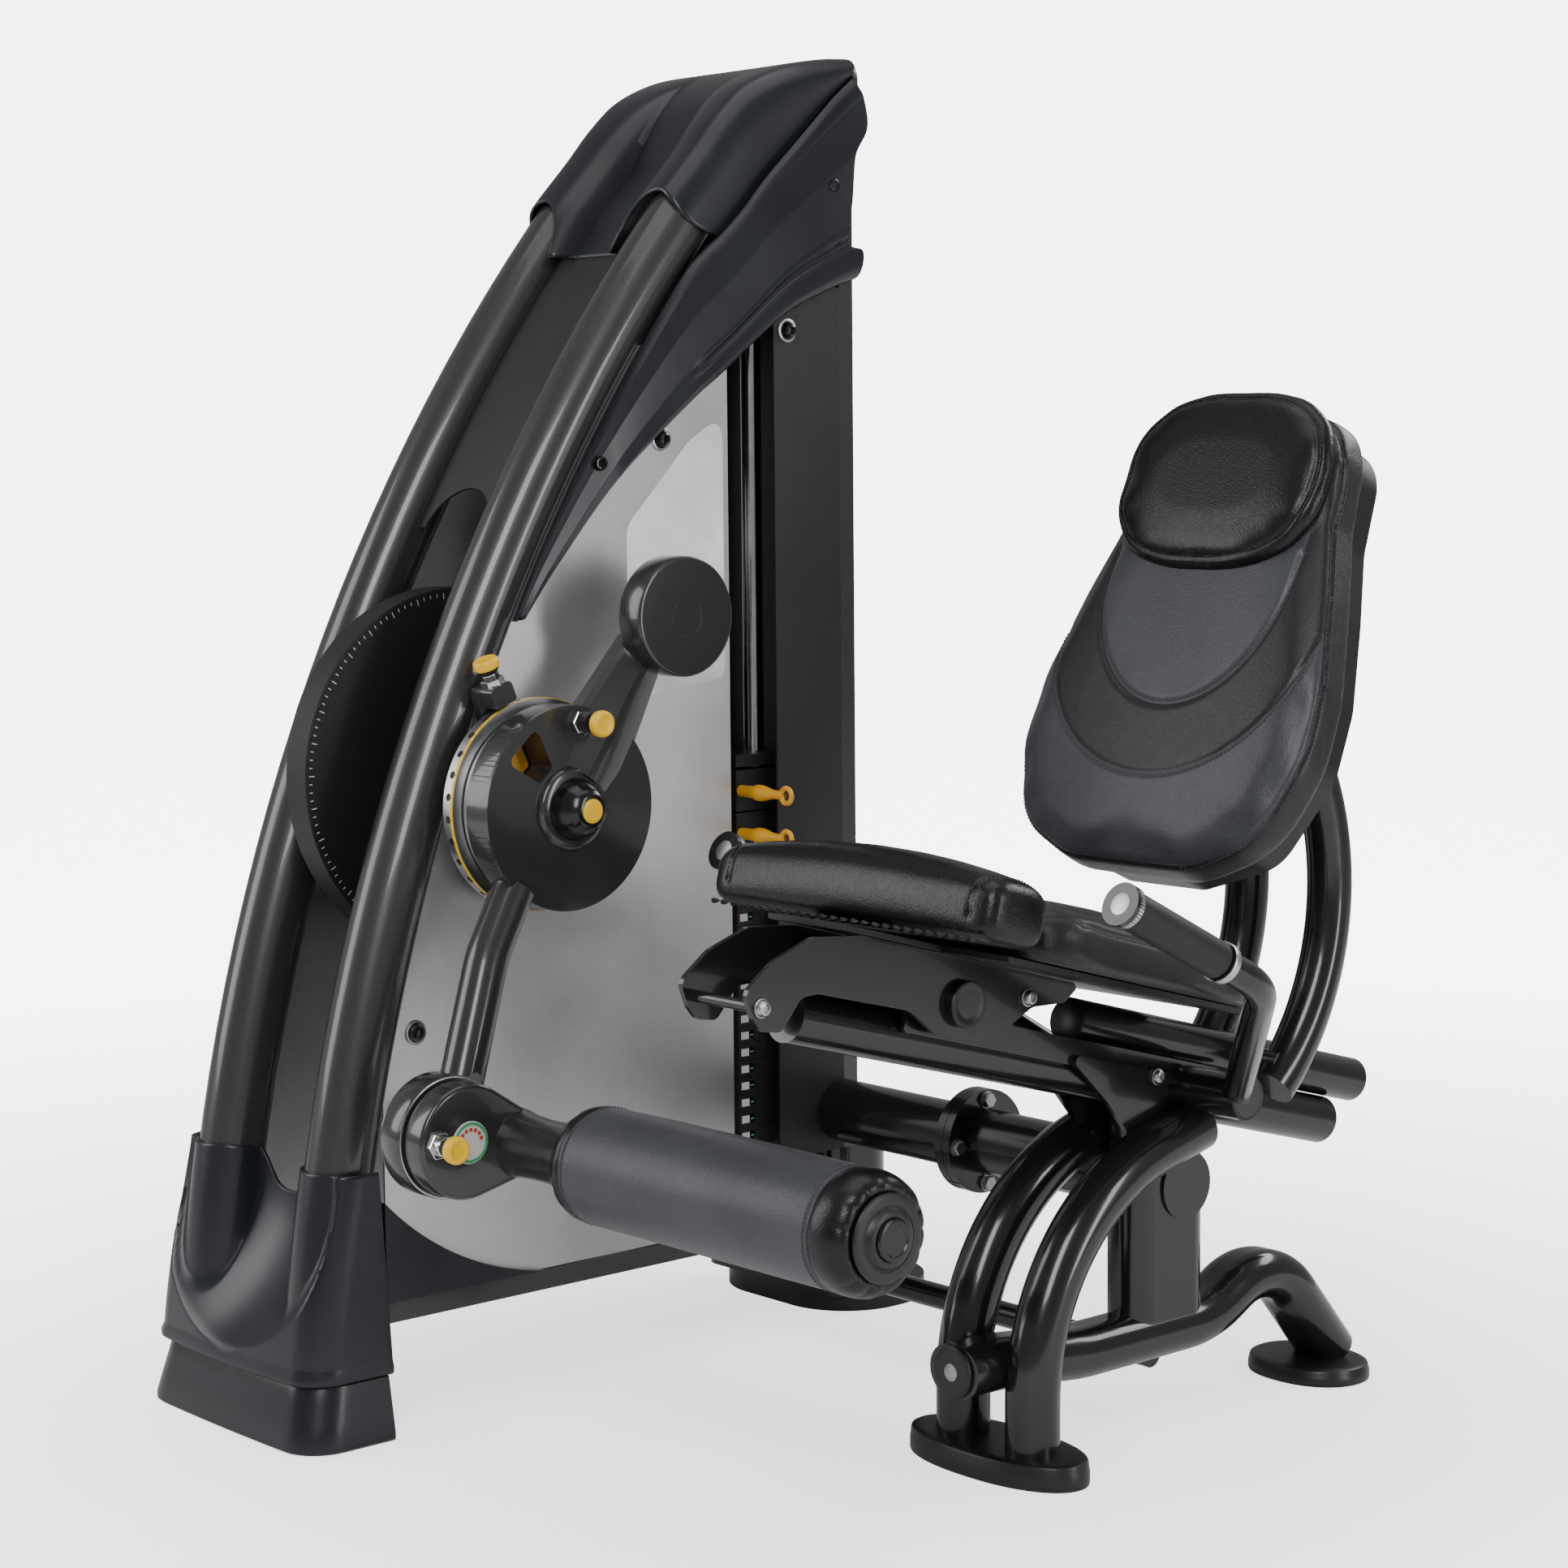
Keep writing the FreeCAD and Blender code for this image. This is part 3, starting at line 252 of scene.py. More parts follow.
def vinyl(name, colour, rough=0.36, grain=520, depth=0.35, coat=0.1, sheen=0.1):
    """Upholstery vinyl: pebbled leather grain, broad softness, slight sheen."""
    m, t, b = new_material(name)
    v = coords(t)
    pebble = cells(t, v, grain, "SMOOTH_F1")
    crease = noise(t, v, 140, 6, 0.6)
    base = cloudy(t, noise(t, v, 9, 3), colour, 0.82, 1.16)
    # The pebble ramp darkens the colour where the grain's bump is lowest: painted shade in the grain's
    # valleys.
    deep = ramp(t, pebble, [(0.0, (1, 1, 1)), (0.55, (0.72, 0.72, 0.72))])
    feed(t, b, {"Base Color": mix_rgb(t, 1.0, base, deep, "MULTIPLY"),
                "Roughness": scaled(t, crease, 0.16, rough - 0.08),
                "Specular IOR Level": 0.36,
                "Coat Weight": coat,
                "Coat Roughness": 0.3,
                "Sheen Weight": sheen})
    bump(t, b, scaled(t, pebble, -1.0, maths(t, "MULTIPLY", crease, 0.5)), depth, 0.0006)
    return m


def textured_steel(name, colour):
    """Wrinkle-texture powder coat."""
    m, t, b = new_material(name)
    v = coords(t)
    wrinkle = noise(t, v, 420, 5, 0.65)
    feed(t, b, {"Base Color": cloudy(t, noise(t, v, 4, 3), colour, 0.85, 1.2),
                "Metallic": 0.25,
                "Roughness": scaled(t, wrinkle, 0.25, 0.38)})
    bump(t, b, wrinkle, 0.5, 0.0008)
    return m


# A darker copy of the arch paint: the same frame paint with painted shade, for the seat frame, legs, rails
# and welds.
FRAME_SHADED = paint("frame_paint", (0.023, 0.0215, 0.022), 0.6, 0.22)
ARCH_PAINT = paint("arch_paint", (0.056, 0.055, 0.054), 0.6, 0.32, peel=0.04)
LEVER = paint("lever_paint", (0.042, 0.041, 0.043), 0.5, 0.26, 0.5, 0.15)
COWL = moulded("cowl_plastic", (0.0075, 0.009, 0.0135), 0.3, 700, 0.08)
BLACK = moulded("black_plastic", (0.006, 0.006, 0.007), 0.38)
GLOSS_BLACK = moulded("gloss_black_plastic", (0.005, 0.005, 0.006), 0.2, 900, 0.04)
SILVER = sheet_metal("silver_sheet", (0.6, 0.6, 0.605))
DARK_SHEET = textured_steel("dark_sheet", (0.02, 0.018, 0.018))
PLATE = textured_steel("plate_iron", (0.009, 0.009, 0.01))
CHROME = plain_metal("rod_chrome", (0.62, 0.62, 0.63), 0.08)
STEEL = plain_metal("index_steel", (0.55, 0.55, 0.55), 0.24, 0.25)
ZINC = plain_metal("bolt_zinc", (0.42, 0.42, 0.43), 0.25, 0.2)
YELLOW = moulded("yellow_plastic", (0.85, 0.5, 0.008), 0.3, 800, 0.05, 0.5, 0.08)
ORANGE = moulded("orange_plastic", (0.85, 0.4, 0.015), 0.32, 800, 0.05, 0.5, 0.08)
RUBBER = moulded("rubber_black", (0.009, 0.009, 0.01), 0.5, 420, 0.35, 0.4)
BELT = moulded("belt_black", (0.008, 0.008, 0.008), 0.6, 300, 0.3, 0.3)
VINYL_BLACK = vinyl("vinyl_black", (0.0045, 0.0045, 0.0052), 0.32, coat=0.03, sheen=0.0)
VINYL_GREY = vinyl("vinyl_grey", (0.05, 0.053, 0.064), 0.42, coat=0.05, sheen=0.03)
PALE = moulded("pale_mark", (0.55, 0.55, 0.53), 0.45, 900, 0.03)
PLATE_PALE = moulded("plate_pale", (0.78, 0.78, 0.78), 0.4, 900, 0.02)
GREEN = moulded("green_mark", (0.05, 0.32, 0.12), 0.4, 900, 0.03)
RED = moulded("red_mark", (0.5, 0.03, 0.02), 0.4, 900, 0.03)
THREAD = vinyl("seam_thread", (0.05, 0.052, 0.06), 0.6, 2000, 0.3)

NODE_MATERIALS = {
    ARCH_PAINT: ["arch_tubes", "tower_rails"],
    FRAME_SHADED: ["rear_leg", "front_legs", "base_rail", "mid_beam", "seat_post", "cross_tube", "main_tube",
            "guide_plates", "seat_sides", "handles", "carriage_frame"],
    LEVER: ["hub_bearings", "lever_disc", "counterweight", "lower_arm", "link_casting"],
    COWL: ["base_shoe", "base_cowl", "top_hood", "top_sides", "corner_gussets"],
    BLACK: ["tower_foot", "top_pulley", "roller_spool", "seat_feet", "seat_pan", "back_board"],
    SILVER: ["side_panels"],
    DARK_SHEET: ["arch_panel", "column_covers", "pulley_bracket"],
    PLATE: ["lifted_plates", "resting_plates", "stack_head", "addon_weights", "cam_disc", "belt_drum"],
    CHROME: ["guide_rods", "hub_shaft", "roller_axle"],
    STEEL: ["range_ring", "index_disc"],
    ZINC: ["frame_bolts"],
    RUBBER: ["stack_buffers", "grips"],
    BELT: ["belt_run", "belt_drop"],
    YELLOW: ["selector_pin", "stop_pin", "lever_pin", "link_pin"],
    ORANGE: ["addon_lever_lower", "addon_lever_upper"],
    VINYL_BLACK: ["bolster", "head_pillow"],
    VINYL_GREY: ["roller_pad", "seat_cushion", "backrest_pad"],
}
for material, names in NODE_MATERIALS.items():
    for name in names:
        NODES[name].data.materials.clear()
        NODES[name].data.materials.append(material)

# ------------------------------------------------------------------ mesh building
class Shell:
    """Collects faces for one piece, in drawing millimetres."""

    def __init__(self):
        self.verts, self.faces, self.slots = [], [], []

    def add(self, points):
        start = len(self.verts)
        self.verts.extend(tuple(p) for p in points)
        return list(range(start, len(self.verts)))

    def face(self, ids, slot=0):
        self.faces.append(tuple(ids))
        self.slots.append(slot)

    def join(self, a, b, slot=0, closed=True):
        """Quads between two rings of points; a ring of one point makes a fan."""
        n = max(len(a), len(b))
        for i in range(n if closed else n - 1):
            j = (i + 1) % n
            quad = [a[i % len(a)], a[j % len(a)], b[j % len(b)], b[i % len(b)]]
            ring = []
            for q in quad:
                if q not in ring:
                    ring.append(q)
            if len(ring) > 2:
                self.face(ring, slot)

    def loft(self, rings, slot=0, closed=True, caps=(False, False)):
        ids = [self.add(r) for r in rings]
        for a, b in zip(ids, ids[1:]):
            self.join(a, b, slot, closed)
        for want, ring in zip(caps, (ids[0], ids[-1])):
            if want and len(ring) > 2:
                self.face(ring, slot)
        return ids

    def revolve(self, profile, at, axis=(1, 0, 0), slot=0, segs=48, slots=None, turn=0.0):
        """profile is a list of (distance along the axis, radius)."""
        w = Vector(axis).normalized()
        side = Vector((0, 0, 1)) if abs(w.z) < 0.9 else Vector((0, 1, 0))
        u = w.cross(side).normalized()
        v = w.cross(u)
        ids = []
        for along, r in profile:
            base = Vector(at) + w * along
            if r < 0.01:
                ids.append(self.add([base]))
                continue
            ring = []
            for k in range(segs):
                t = 2 * math.pi * k / segs + turn
                ring.append(base + u * (r * math.cos(t)) + v * (r * math.sin(t)))
            ids.append(self.add(ring))
        for i, (a, b) in enumerate(zip(ids, ids[1:])):
            if len(a) > 1 or len(b) > 1:
                self.join(a, b, slots[i] if slots else slot)

    def sweep(self, path, radius, slot=0, segs=24, flat=1.0, caps=True):
        """A tube along points; radius is a number or one number per point."""
        pts = [Vector(p) for p in path]
        radii = radius if isinstance(radius, (list, tuple)) else [radius] * len(pts)
        ahead = (pts[1] - pts[0]).normalized()
        side = Vector((1, 0, 0)) if abs(ahead.x) < 0.9 else Vector((0, 0, 1))
        u = ahead.cross(side).normalized()
        rings = []
        for i, p in enumerate(pts):
            d = (pts[min(i + 1, len(pts) - 1)] - pts[max(i - 1, 0)]).normalized()
            u = (u - d * u.dot(d)).normalized()
            v = d.cross(u)
            rings.append([p + u * (radii[i] * math.cos(t)) + v * (radii[i] * flat * math.sin(t))
                          for t in (2 * math.pi * k / segs for k in range(segs))])
        self.loft(rings, slot, True, (caps, caps))

    def plate(self, outline, x0, x1, slot=0, edge=1.5, steps=3):
        """A YZ outline from x0 to x1 with rounded rims."""
        pts = np.array(outline, float)
        sign = 1 if x1 > x0 else -1
        turns = [math.pi / 2 * k / steps for k in range(steps + 1)]
        first = [(x0 + sign * edge * (1 - math.cos(a)), edge * (1 - math.sin(a))) for a in turns]
        last = [(x1 - (x - x0), e) for x, e in reversed(first)]
        loops = [[(x, y, z) for y, z in inset(pts, e)] for x, e in first + last]
        self.loft(loops, slot, True, (True, True))


def inset(pts, distance):
    """A closed outline moved inwards."""
    if abs(distance) < 1e-6:
        return pts
    nxt, prv = np.roll(pts, -1, 0), np.roll(pts, 1, 0)
    d = nxt - prv
    d /= np.maximum(np.linalg.norm(d, axis=1, keepdims=True), 1e-9)
    area = np.sum(pts[:, 0] * nxt[:, 1] - nxt[:, 0] * pts[:, 1])
    n = np.stack([-d[:, 1], d[:, 0]], 1) * (1 if area > 0 else -1)
    return pts + n * distance


def rounded(corners, steps=6):
    """Corner points (a, b, radius) as an outline with arcs."""
    out = []
    n = len(corners)
    for i, (a, b, r) in enumerate(corners):
        p = np.array((a, b), float)
        q = np.array(corners[i - 1][:2], float) - p
        s = np.array(corners[(i + 1) % n][:2], float) - p
        lq, ls = np.linalg.norm(q), np.linalg.norm(s)
        q, s = q / lq, s / ls
        half = math.acos(max(-1, min(1, float(q @ s)))) / 2
        if r < 0.01 or half > 1.55:
            out.append(tuple(p))
            continue
        cut = min(r / math.tan(half), 0.48 * lq, 0.48 * ls)
        for k in range(steps + 1):
            t = k / steps
            a0, a1 = p + q * cut, p + s * cut
            out.append(tuple((1 - t) ** 2 * a0 + 2 * t * (1 - t) * (p * 0.83 + (a0 + a1) * 0.085) +
                             t * t * a1))
    return out


def spline(points, count):
    """Points spread evenly along a smooth curve through the given ones."""
    p = np.array(points, float)
    ext = np.vstack([2 * p[0] - p[1], p, 2 * p[-1] - p[-2]])
    fine = []
    for i in range(len(p) - 1):
        a, b, c, d = ext[i:i + 4]
        for t in np.linspace(0, 1, 24, endpoint=False):
            fine.append(0.5 * (2 * b + (c - a) * t + (2 * a - 5 * b + 4 * c - d) * t * t
                               + (3 * b - a - 3 * c + d) * t ** 3))
    fine = np.array(fine + [p[-1]])
    run = np.concatenate([[0], np.cumsum(np.linalg.norm(np.diff(fine, axis=0), axis=1))])
    want = np.linspace(0, run[-1], count)
    return np.stack([np.interp(want, run, fine[:, k]) for k in range(p.shape[1])], 1)


def finish_piece(o, materials, body, replace=()):
    for m in materials:
        o.data.materials.append(m)
    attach(o, body)
    if replace:
        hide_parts(*replace)
    return o


def smooth(mesh, angle=32):
    mesh.shade_smooth()
    mesh.set_sharp_from_angle(angle=math.radians(angle))


def shell_object(name, shell, convert):
    """A Shell as an object, with doubles merged and faces turned outwards."""
    mesh = bpy.data.meshes.new(name)
    mesh.from_pydata([convert(p) for p in shell.verts], [], shell.faces)
    mesh.polygons.foreach_set("material_index", shell.slots)
    bm = bmesh.new()
    bm.from_mesh(mesh)
    bmesh.ops.remove_doubles(bm, verts=bm.verts, dist=1e-6)
    bmesh.ops.recalc_face_normals(bm, faces=bm.faces)
    bm.to_mesh(mesh)
    bm.free()
    o = bpy.data.objects.new(name, mesh)
    bpy.context.scene.collection.objects.link(o)
    return o


def local(p):
    """A place in a pad's own millimetres."""
    return Vector(p) / 1000


def build(name, shell, materials, body, replace=(), thick=0.0, angle=32, frame_of=None):
    """Turns a Shell into a piece. thick gives a sheet its thickness, inwards."""
    o = shell_object(name, shell, local if frame_of is not None else lambda p: P(*p))
    if frame_of is not None:
        o.matrix_world = frame_of
    if thick:
        mod = o.modifiers.new("thickness", "SOLIDIFY")
        mod.thickness = thick / 1000
        mod.offset = -1
    smooth(o.data, angle)
    return finish_piece(o, materials if isinstance(materials, list) else [materials], body, replace)


def smoothstep(a, b, x):
    t = min(1.0, max(0.0, (x - a) / (b - a)))
    return t * t * (3 - 2 * t)


def soft_max(a, b, k):
    h = max(k - abs(a - b), 0) / k
    return max(a, b) + h * h * k / 4


def soft_min(a, b, k):
    return -soft_max(-a, -b, k)


# ------------------------------------------------------------------ hood and side covers
RIDGE = [(-66, 1300), (-44, 1333), (-20, 1366), (32, 1421), (66, 1459), (108, 1495), (165, 1520),
         (225, 1532), (262, 1535)]
RIM = [(14, 1297), (28, 1308), (45, 1321), (76, 1349), (110, 1385), (150, 1422), (193, 1463),
       (222, 1490), (250, 1512)]
REAR = [(264, 1533), (268, 1520), (269, 1490), (269, 1455), (262, 1436), (253, 1419), (246, 1370),
        (237, 1313), (236, 1300)]
HOOD_ROWS = 64


def hood():
    ridge = spline(RIDGE, HOOD_ROWS)
    rim = spline(RIM, HOOD_ROWS)
    columns = []
    for k in range(-34, 35):
        s = abs(k) / 34
        if s < 0.66:
            u, drop = 108 * s / 0.66, 0.0
            dip = 1 - math.sqrt(max(0.0, 1 - min(1.0, (108 - u) / 62) ** 2.3))
        else:
            phi = (s - 0.66) / 0.34 * math.pi / 2
            x = math.sin(phi)
            u, drop, dip = 108 + 43 * x, 1 - (1 - x ** 2.6) ** 0.385, 0.0
        lip = max(0.0, 1 - ((u - 108) / 50) ** 2)
        start = 0.2 * lip ** 0.55
        column = []
        for r in range(HOOD_ROWS):
            t = start + (1 - start) * r / (HOOD_ROWS - 1)
            f = t * (HOOD_ROWS - 1)
            i = min(int(f), HOOD_ROWS - 2)
            a = ridge[i] * (1 - f + i) + ridge[i + 1] * (f - i)
            b = rim[i] * (1 - f + i) + rim[i + 1] * (f - i)
            down = b - a
            down /= np.linalg.norm(down)
            valley = 44 * (1 - smoothstep(0.25, 0.9, t)) * dip
            p = a + (b - a) * drop + down * valley
            column.append((TOWER + (u if k >= 0 else -u), p[0], p[1]))
        y1, z1 = column[-1][1:]
        for n, (y, z) in enumerate(REAR):
            fall = (1535 - z1) * max(0.0, 1 - n / 3)
            column.append((TOWER + (u if k >= 0 else -u), y - (262 - y1), z - fall))
        columns.append(column)
    shell = Shell()
    shell.loft(columns, closed=False)
    build("hood_shell", shell, COWL, "frame", ["top_hood"], thick=4, angle=60)


def side_cover(sign):
    """One moulded side cover: chamfered top edge, dished face, ledge and rolled lower band."""
    top = [(arch(z, -20), z) for z in (885, 927, 985, 1045, 1105, 1165, 1225, 1275)]
    top = spline(top + [(14, 1297)] + RIM[1:], 90)
    low = spline([(-245, 886), (-193, 950), (-122, 1030), (-51, 1089), (-2, 1126), (47, 1160),
                  (97, 1197), (148, 1230), (213, 1256), (258, 1271)], 90)
    rear = spline([(251, 1510), (269, 1455), (253, 1419), (245, 1370), (236, 1315), (258, 1305),
                   (258, 1273)], 60)
    edge = [0, .015, .04, .08, .085, .2, .3, .37, .39, .48, .6, .68, .700, .715, .73, .745, .76, .775,
            .79, .805, .82, .86, .9, .94, .97, .99, 1]
    height = [148, 152, 156.5, 160.5, 161, 158.6, 156.2, 154.6, 154.6, 156, 158, 159.3, 159.6, 161.2,
              162, 160.4, 157.8, 157.4, 158, 160.6, 161.6, 161.2, 160.4, 158.8, 155.5, 151, 145]
    plain = np.interp(edge, [0, .04, .08, .37, .7, .9, .97, 1],
                      [148, 156.5, 160.5, 154.6, 159.4, 160, 155.5, 145])
    across = np.linspace(0, 1, 100)
    rows = []
    for i in range(90):
        t = i / 89
        a, b = top[i], low[i]
        span = np.linalg.norm(b - a)
        ledge = smoothstep(0.52, 0.6, t) * min(1.0, span / 150)
        row = []
        for w in across:
            p = a + (b - a) * w
            pull = smoothstep(0.78, 1.0, t)
            j = w * (len(rear) - 1)
            k = min(int(j), len(rear) - 2)
            target = rear[k] * (1 - j + k) + rear[k + 1] * (j - k)
            straight = top[-1] + (low[-1] - top[-1]) * w
            p = p + (target - straight) * pull
            x = np.interp(w, edge, height) * ledge + np.interp(w, edge, plain) * (1 - ledge)
            if span < 70:
                x = 146 + (x - 146) * max(0.35, span / 70)
            row.append((TOWER + sign * x, p[0], p[1]))
        rows.append(row)
    rows.append([(TOWER + sign * (abs(x - TOWER) - 4), y + 2, z) for x, y, z in rows[-1]])
    rows.append([(TOWER + sign * (abs(x - TOWER) - 16), y + 1, z) for x, y, z in rows[-2]])
    shell = Shell()
    shell.loft(rows, closed=False)
    side = "near" if sign > 0 else "far"
    build("side_cover_" + side, shell, COWL, "frame", ["top_sides"], thick=3, angle=45)
    holes = Shell()
    for y, z, x in ((217, 1381, 155.6), (216, 1318, 158.6), (-141, 1057, 158.4)):
        holes.revolve([(-3, 0), (-3, 5.2), (0.6, 5.2), (1.2, 6.2), (0.9, 7.6), (-0.5, 8.2), (-3, 8.2)],
                      (TOWER + sign * x, y, z), (sign, 0, 0), segs=28)
    build("cover_eyelets_" + side, holes, GLOSS_BLACK, "frame")


hood()
side_cover(1)
side_cover(-1)


# ------------------------------------------------------------------ base cowl and shoe
def plan(half, front, rear, radius, bow=5.0, n_side=14, n_corner=12, n_front=110):
    """Open outline round the front of the column, from the rear of one side to the other."""
    pts = []
    for k in range(n_side):
        pts.append((half, rear + (front + radius - rear) * k / n_side))
    for k in range(n_corner):
        t = math.pi / 2 * k / n_corner
        pts.append((half - radius + radius * math.cos(t), front + radius - radius * math.sin(t)))
    for k in range(n_front + 1):
        u = (half - radius) * (1 - 2 * k / n_front)
        pts.append((u, front - bow * (1 - (u / (half - radius)) ** 2)))
    flip = [(-x, y) for x, y in reversed(pts[:n_side + n_corner])]
    return pts + flip


def cowl_surface(x, y, z):
    """The dish in the front of the cowl, and the sleeves round the two tubes inside it."""
    inside = 262 ** 2 - x * x - (z - 300) ** 2
    if inside <= 0:
        return y
    dish = -726.6 + math.sqrt(inside)
    dished = soft_max(y, dish, 5)
    depth = dished - y
    gap = abs(x) - 108
    reach = 45 ** 2 - gap * gap
    if reach > 0 and depth > 0.5:
        sleeve = arch(z) - math.sqrt(reach) + 3
        dished = soft_min(dished, max(sleeve, y), 9)
    return dished


def base_cowl():
    levels = [(72, 157, -553), (73, 162, -559), (76, 166, -563), (82, 167, -563), (90, 165, -559.5)]
    for k in range(1, 63):
        levels.append((90 + 210 * k / 62, 165 - 4 * k / 62, -559.5 + 37 * (k / 62) ** 1.25))
    rings = []
    for z, half, front in levels:
        ring = []
        for x, y in plan(half, front, -452 - 11 * (z - 72) / 228, 42, 6):
            top = 298 - 47 * math.exp(-(x / 52) ** 4) if y < -440 else 298
            zz = z if z < 200 else 200 + (z - 200) * (top - 200) / 100
            if y > front + 60 and abs(x) > half - 3:
                zz = z
            ring.append((TOWER + x, cowl_surface(x, y, zz), zz))
        rings.append(ring)
    shell = Shell()
    shell.loft(rings, closed=False)
    build("cowl_shell", shell, COWL, "frame", ["base_cowl"], thick=4, angle=50)


def base_shoe():
    rings = []
    profile = [(0.4, 164, -561), (1.2, 168.5, -567), (4, 171, -570), (10, 171, -570), (30, 167.5, -565),
               (55, 163, -558.5), (66, 161, -556), (71, 160, -554), (72, 156, -550)]
    for z, half, front in profile:
        rings.append([(TOWER + x, y, z) for x, y in plan(half, front, -455, 46, 2, 8, 12, 30)])
    shell = Shell()
    ids = shell.loft(rings, closed=True)
    shell.face(ids[0])
    shell.face(ids[-1])
    build("shoe_shell", shell, COWL, "frame", ["base_shoe"], angle=40)


base_cowl()
base_shoe()


# ------------------------------------------------------------------ padded parts
def evaluated(o):
    dep = bpy.context.evaluated_depsgraph_get()
    return bpy.data.meshes.new_from_object(o.evaluated_get(dep))


def coordinates(mesh):
    co = np.empty(len(mesh.vertices) * 3)
    mesh.vertices.foreach_get("co", co)
    return co.reshape(-1, 3)


def relaxed(mesh, move, passes):
    """Evens a displacement out over neighbouring points, so only broad wrinkles stay."""
    ends = np.zeros(len(mesh.edges) * 2, dtype=int)
    mesh.edges.foreach_get("vertices", ends)
    a, b = ends.reshape(-1, 2).T
    count = np.bincount(ends, minlength=len(move))[:, None]
    for _ in range(passes):
        total = np.zeros_like(move)
        np.add.at(total, a, move[b])
        np.add.at(total, b, move[a])
        move = 0.5 * move + 0.5 * total / count
    return move


CLOTH = {"quality": 5, "mass": 0.3, "tension_stiffness": 15, "compression_stiffness": 15,
         "shear_stiffness": 5, "bending_stiffness": 2, "use_pressure": True}
CLOTH_FRAMES = 20
RELAX_PASSES = 14


def puff(shell, place, hold, voxel=5.0, cap=7.0, pressure=4.0):
    """Remesh a closed form, swell it as cloth under pressure and return the object. hold(co) pins points."""
    o = shell_object("pad", shell, local)
    mod = o.modifiers.new("voxels", "REMESH")
    mod.mode = "VOXEL"
    mod.voxel_size = voxel / 1000
    o.data = evaluated(o)
    o.modifiers.clear()
    co = coordinates(o.data)
    group = o.vertex_groups.new(name="held")
    for i in np.nonzero(hold(co * 1000))[0]:
        group.add([int(i)], 1.0, "REPLACE")
    cloth = o.modifiers.new("swell", "CLOTH")
    cfg = cloth.settings
    for key, value in CLOTH.items():
        setattr(cfg, key, value)
    cfg.uniform_pressure_force = pressure
    cfg.effector_weights.gravity = 0
    cfg.vertex_group_mass = "held"
    cloth.point_cache.frame_start = 1
    cloth.point_cache.frame_end = CLOTH_FRAMES
    for frame_number in range(1, CLOTH_FRAMES + 1):
        bpy.context.scene.frame_set(frame_number)
    swollen = coordinates(evaluated(o))
    bpy.context.scene.frame_set(1)
    o.modifiers.clear()
    move = swollen - co
    size = np.maximum(np.linalg.norm(move, axis=1, keepdims=True), 1e-9)
    co = co + relaxed(o.data, move * np.minimum(1, cap / 1000 / size), RELAX_PASSES)
    o.data.vertices.foreach_set("co", co.ravel())
    o.data.update()
    sub = o.modifiers.new("smooth", "SUBSURF")
    sub.levels = sub.render_levels = 1
    o.data = evaluated(o)
    o.modifiers.clear()
    o.matrix_world = place
    return o


def groove(o, lines, depth=2.2, width=3.2):
    """Presses seams into a padded mesh, in the mesh's own millimetres."""
    mesh = o.data
    co = coordinates(mesh) * 1000
    normals = np.array([v.normal for v in mesh.vertices])
    dense = np.vstack([spline(line, max(8, int(len_of(line) / 2))) for line in lines])
    near = np.full(len(co), 1e9)
    for start in range(0, len(dense), 64):
        part = dense[start:start + 64]
        d = np.min(np.linalg.norm(co[:, None, :] - part[None], axis=2), axis=1)
        near = np.minimum(near, d)
    co -= normals * (depth * np.exp(-(near / width) ** 2))[:, None]
    mesh.vertices.foreach_set("co", (co / 1000).ravel())
    mesh.update()


def len_of(line):
    return float(np.sum(np.linalg.norm(np.diff(np.array(line, float), axis=0), axis=1)))


def on_surface(o, line, direction, lift=0.0, spacing=2.0):
    """A line of points dropped onto a pad along a direction, in the pad's millimetres, with normals."""
    tree = BVHTree.FromPolygons([v.co for v in o.data.vertices], [p.vertices for p in o.data.polygons])
    d = Vector(direction).normalized()
    out = []
    for p in spline(line, max(4, int(len_of(line) / spacing))):
        hit, normal, _, _ = tree.ray_cast(Vector(p) / 1000 - d * 0.15, d)
        if hit is not None:
            out.append((hit * 1000 + normal * lift, normal))
    return out


def stitches(shell, points, pitch=5.0, length=3.4, radius=0.55, slot=0):
    """Short thread loops along surface points."""
    if len(points) < 3:
        return
    co = np.array([p for p, _ in points])
    run = np.concatenate([[0], np.cumsum(np.linalg.norm(np.diff(co, axis=0), axis=1))])
    s = pitch / 2
    while s + length < run[-1]:
        ends = [np.array([np.interp(s + length * f, run, co[:, k]) for k in range(3)])
                for f in (0, .25, .5, .75, 1)]
        i = min(int(np.searchsorted(run, s)), len(points) - 1)
        n = np.array(points[i][1])
        path = [e + n * h for e, h in zip(ends, (-0.5, 0.25, 0.45, 0.25, -0.5))]
        shell.sweep(path, radius, slot, 5, 1.0, False)
        s += pitch


def seam(pad, name, lines, direction, place, body, twin=0.0):
    """Sewn lines with thread; twin gives a second row each side at that distance."""
    shell = Shell()
    for line in lines:
        pts = on_surface(pad, line, direction, 0.15)
        if not twin:
            stitches(shell, pts)
            continue
        co = [np.array(p) for p, _ in pts]
        for side in (-1, 1):
            row = []
            for i, (p, n) in enumerate(pts):
                t = Vector(co[min(i + 1, len(co) - 1)] - co[max(i - 1, 0)]).normalized()
                row.append((p + n.cross(t) * (twin * side), n))
            stitches(shell, row)
    if shell.verts:
        build(name, shell, THREAD, body, frame_of=place)


def pad_piece(o, name, materials, body, replace):
    o.name = name
    smooth(o.data, 180)
    finish_piece(o, materials, body, replace)
    return o


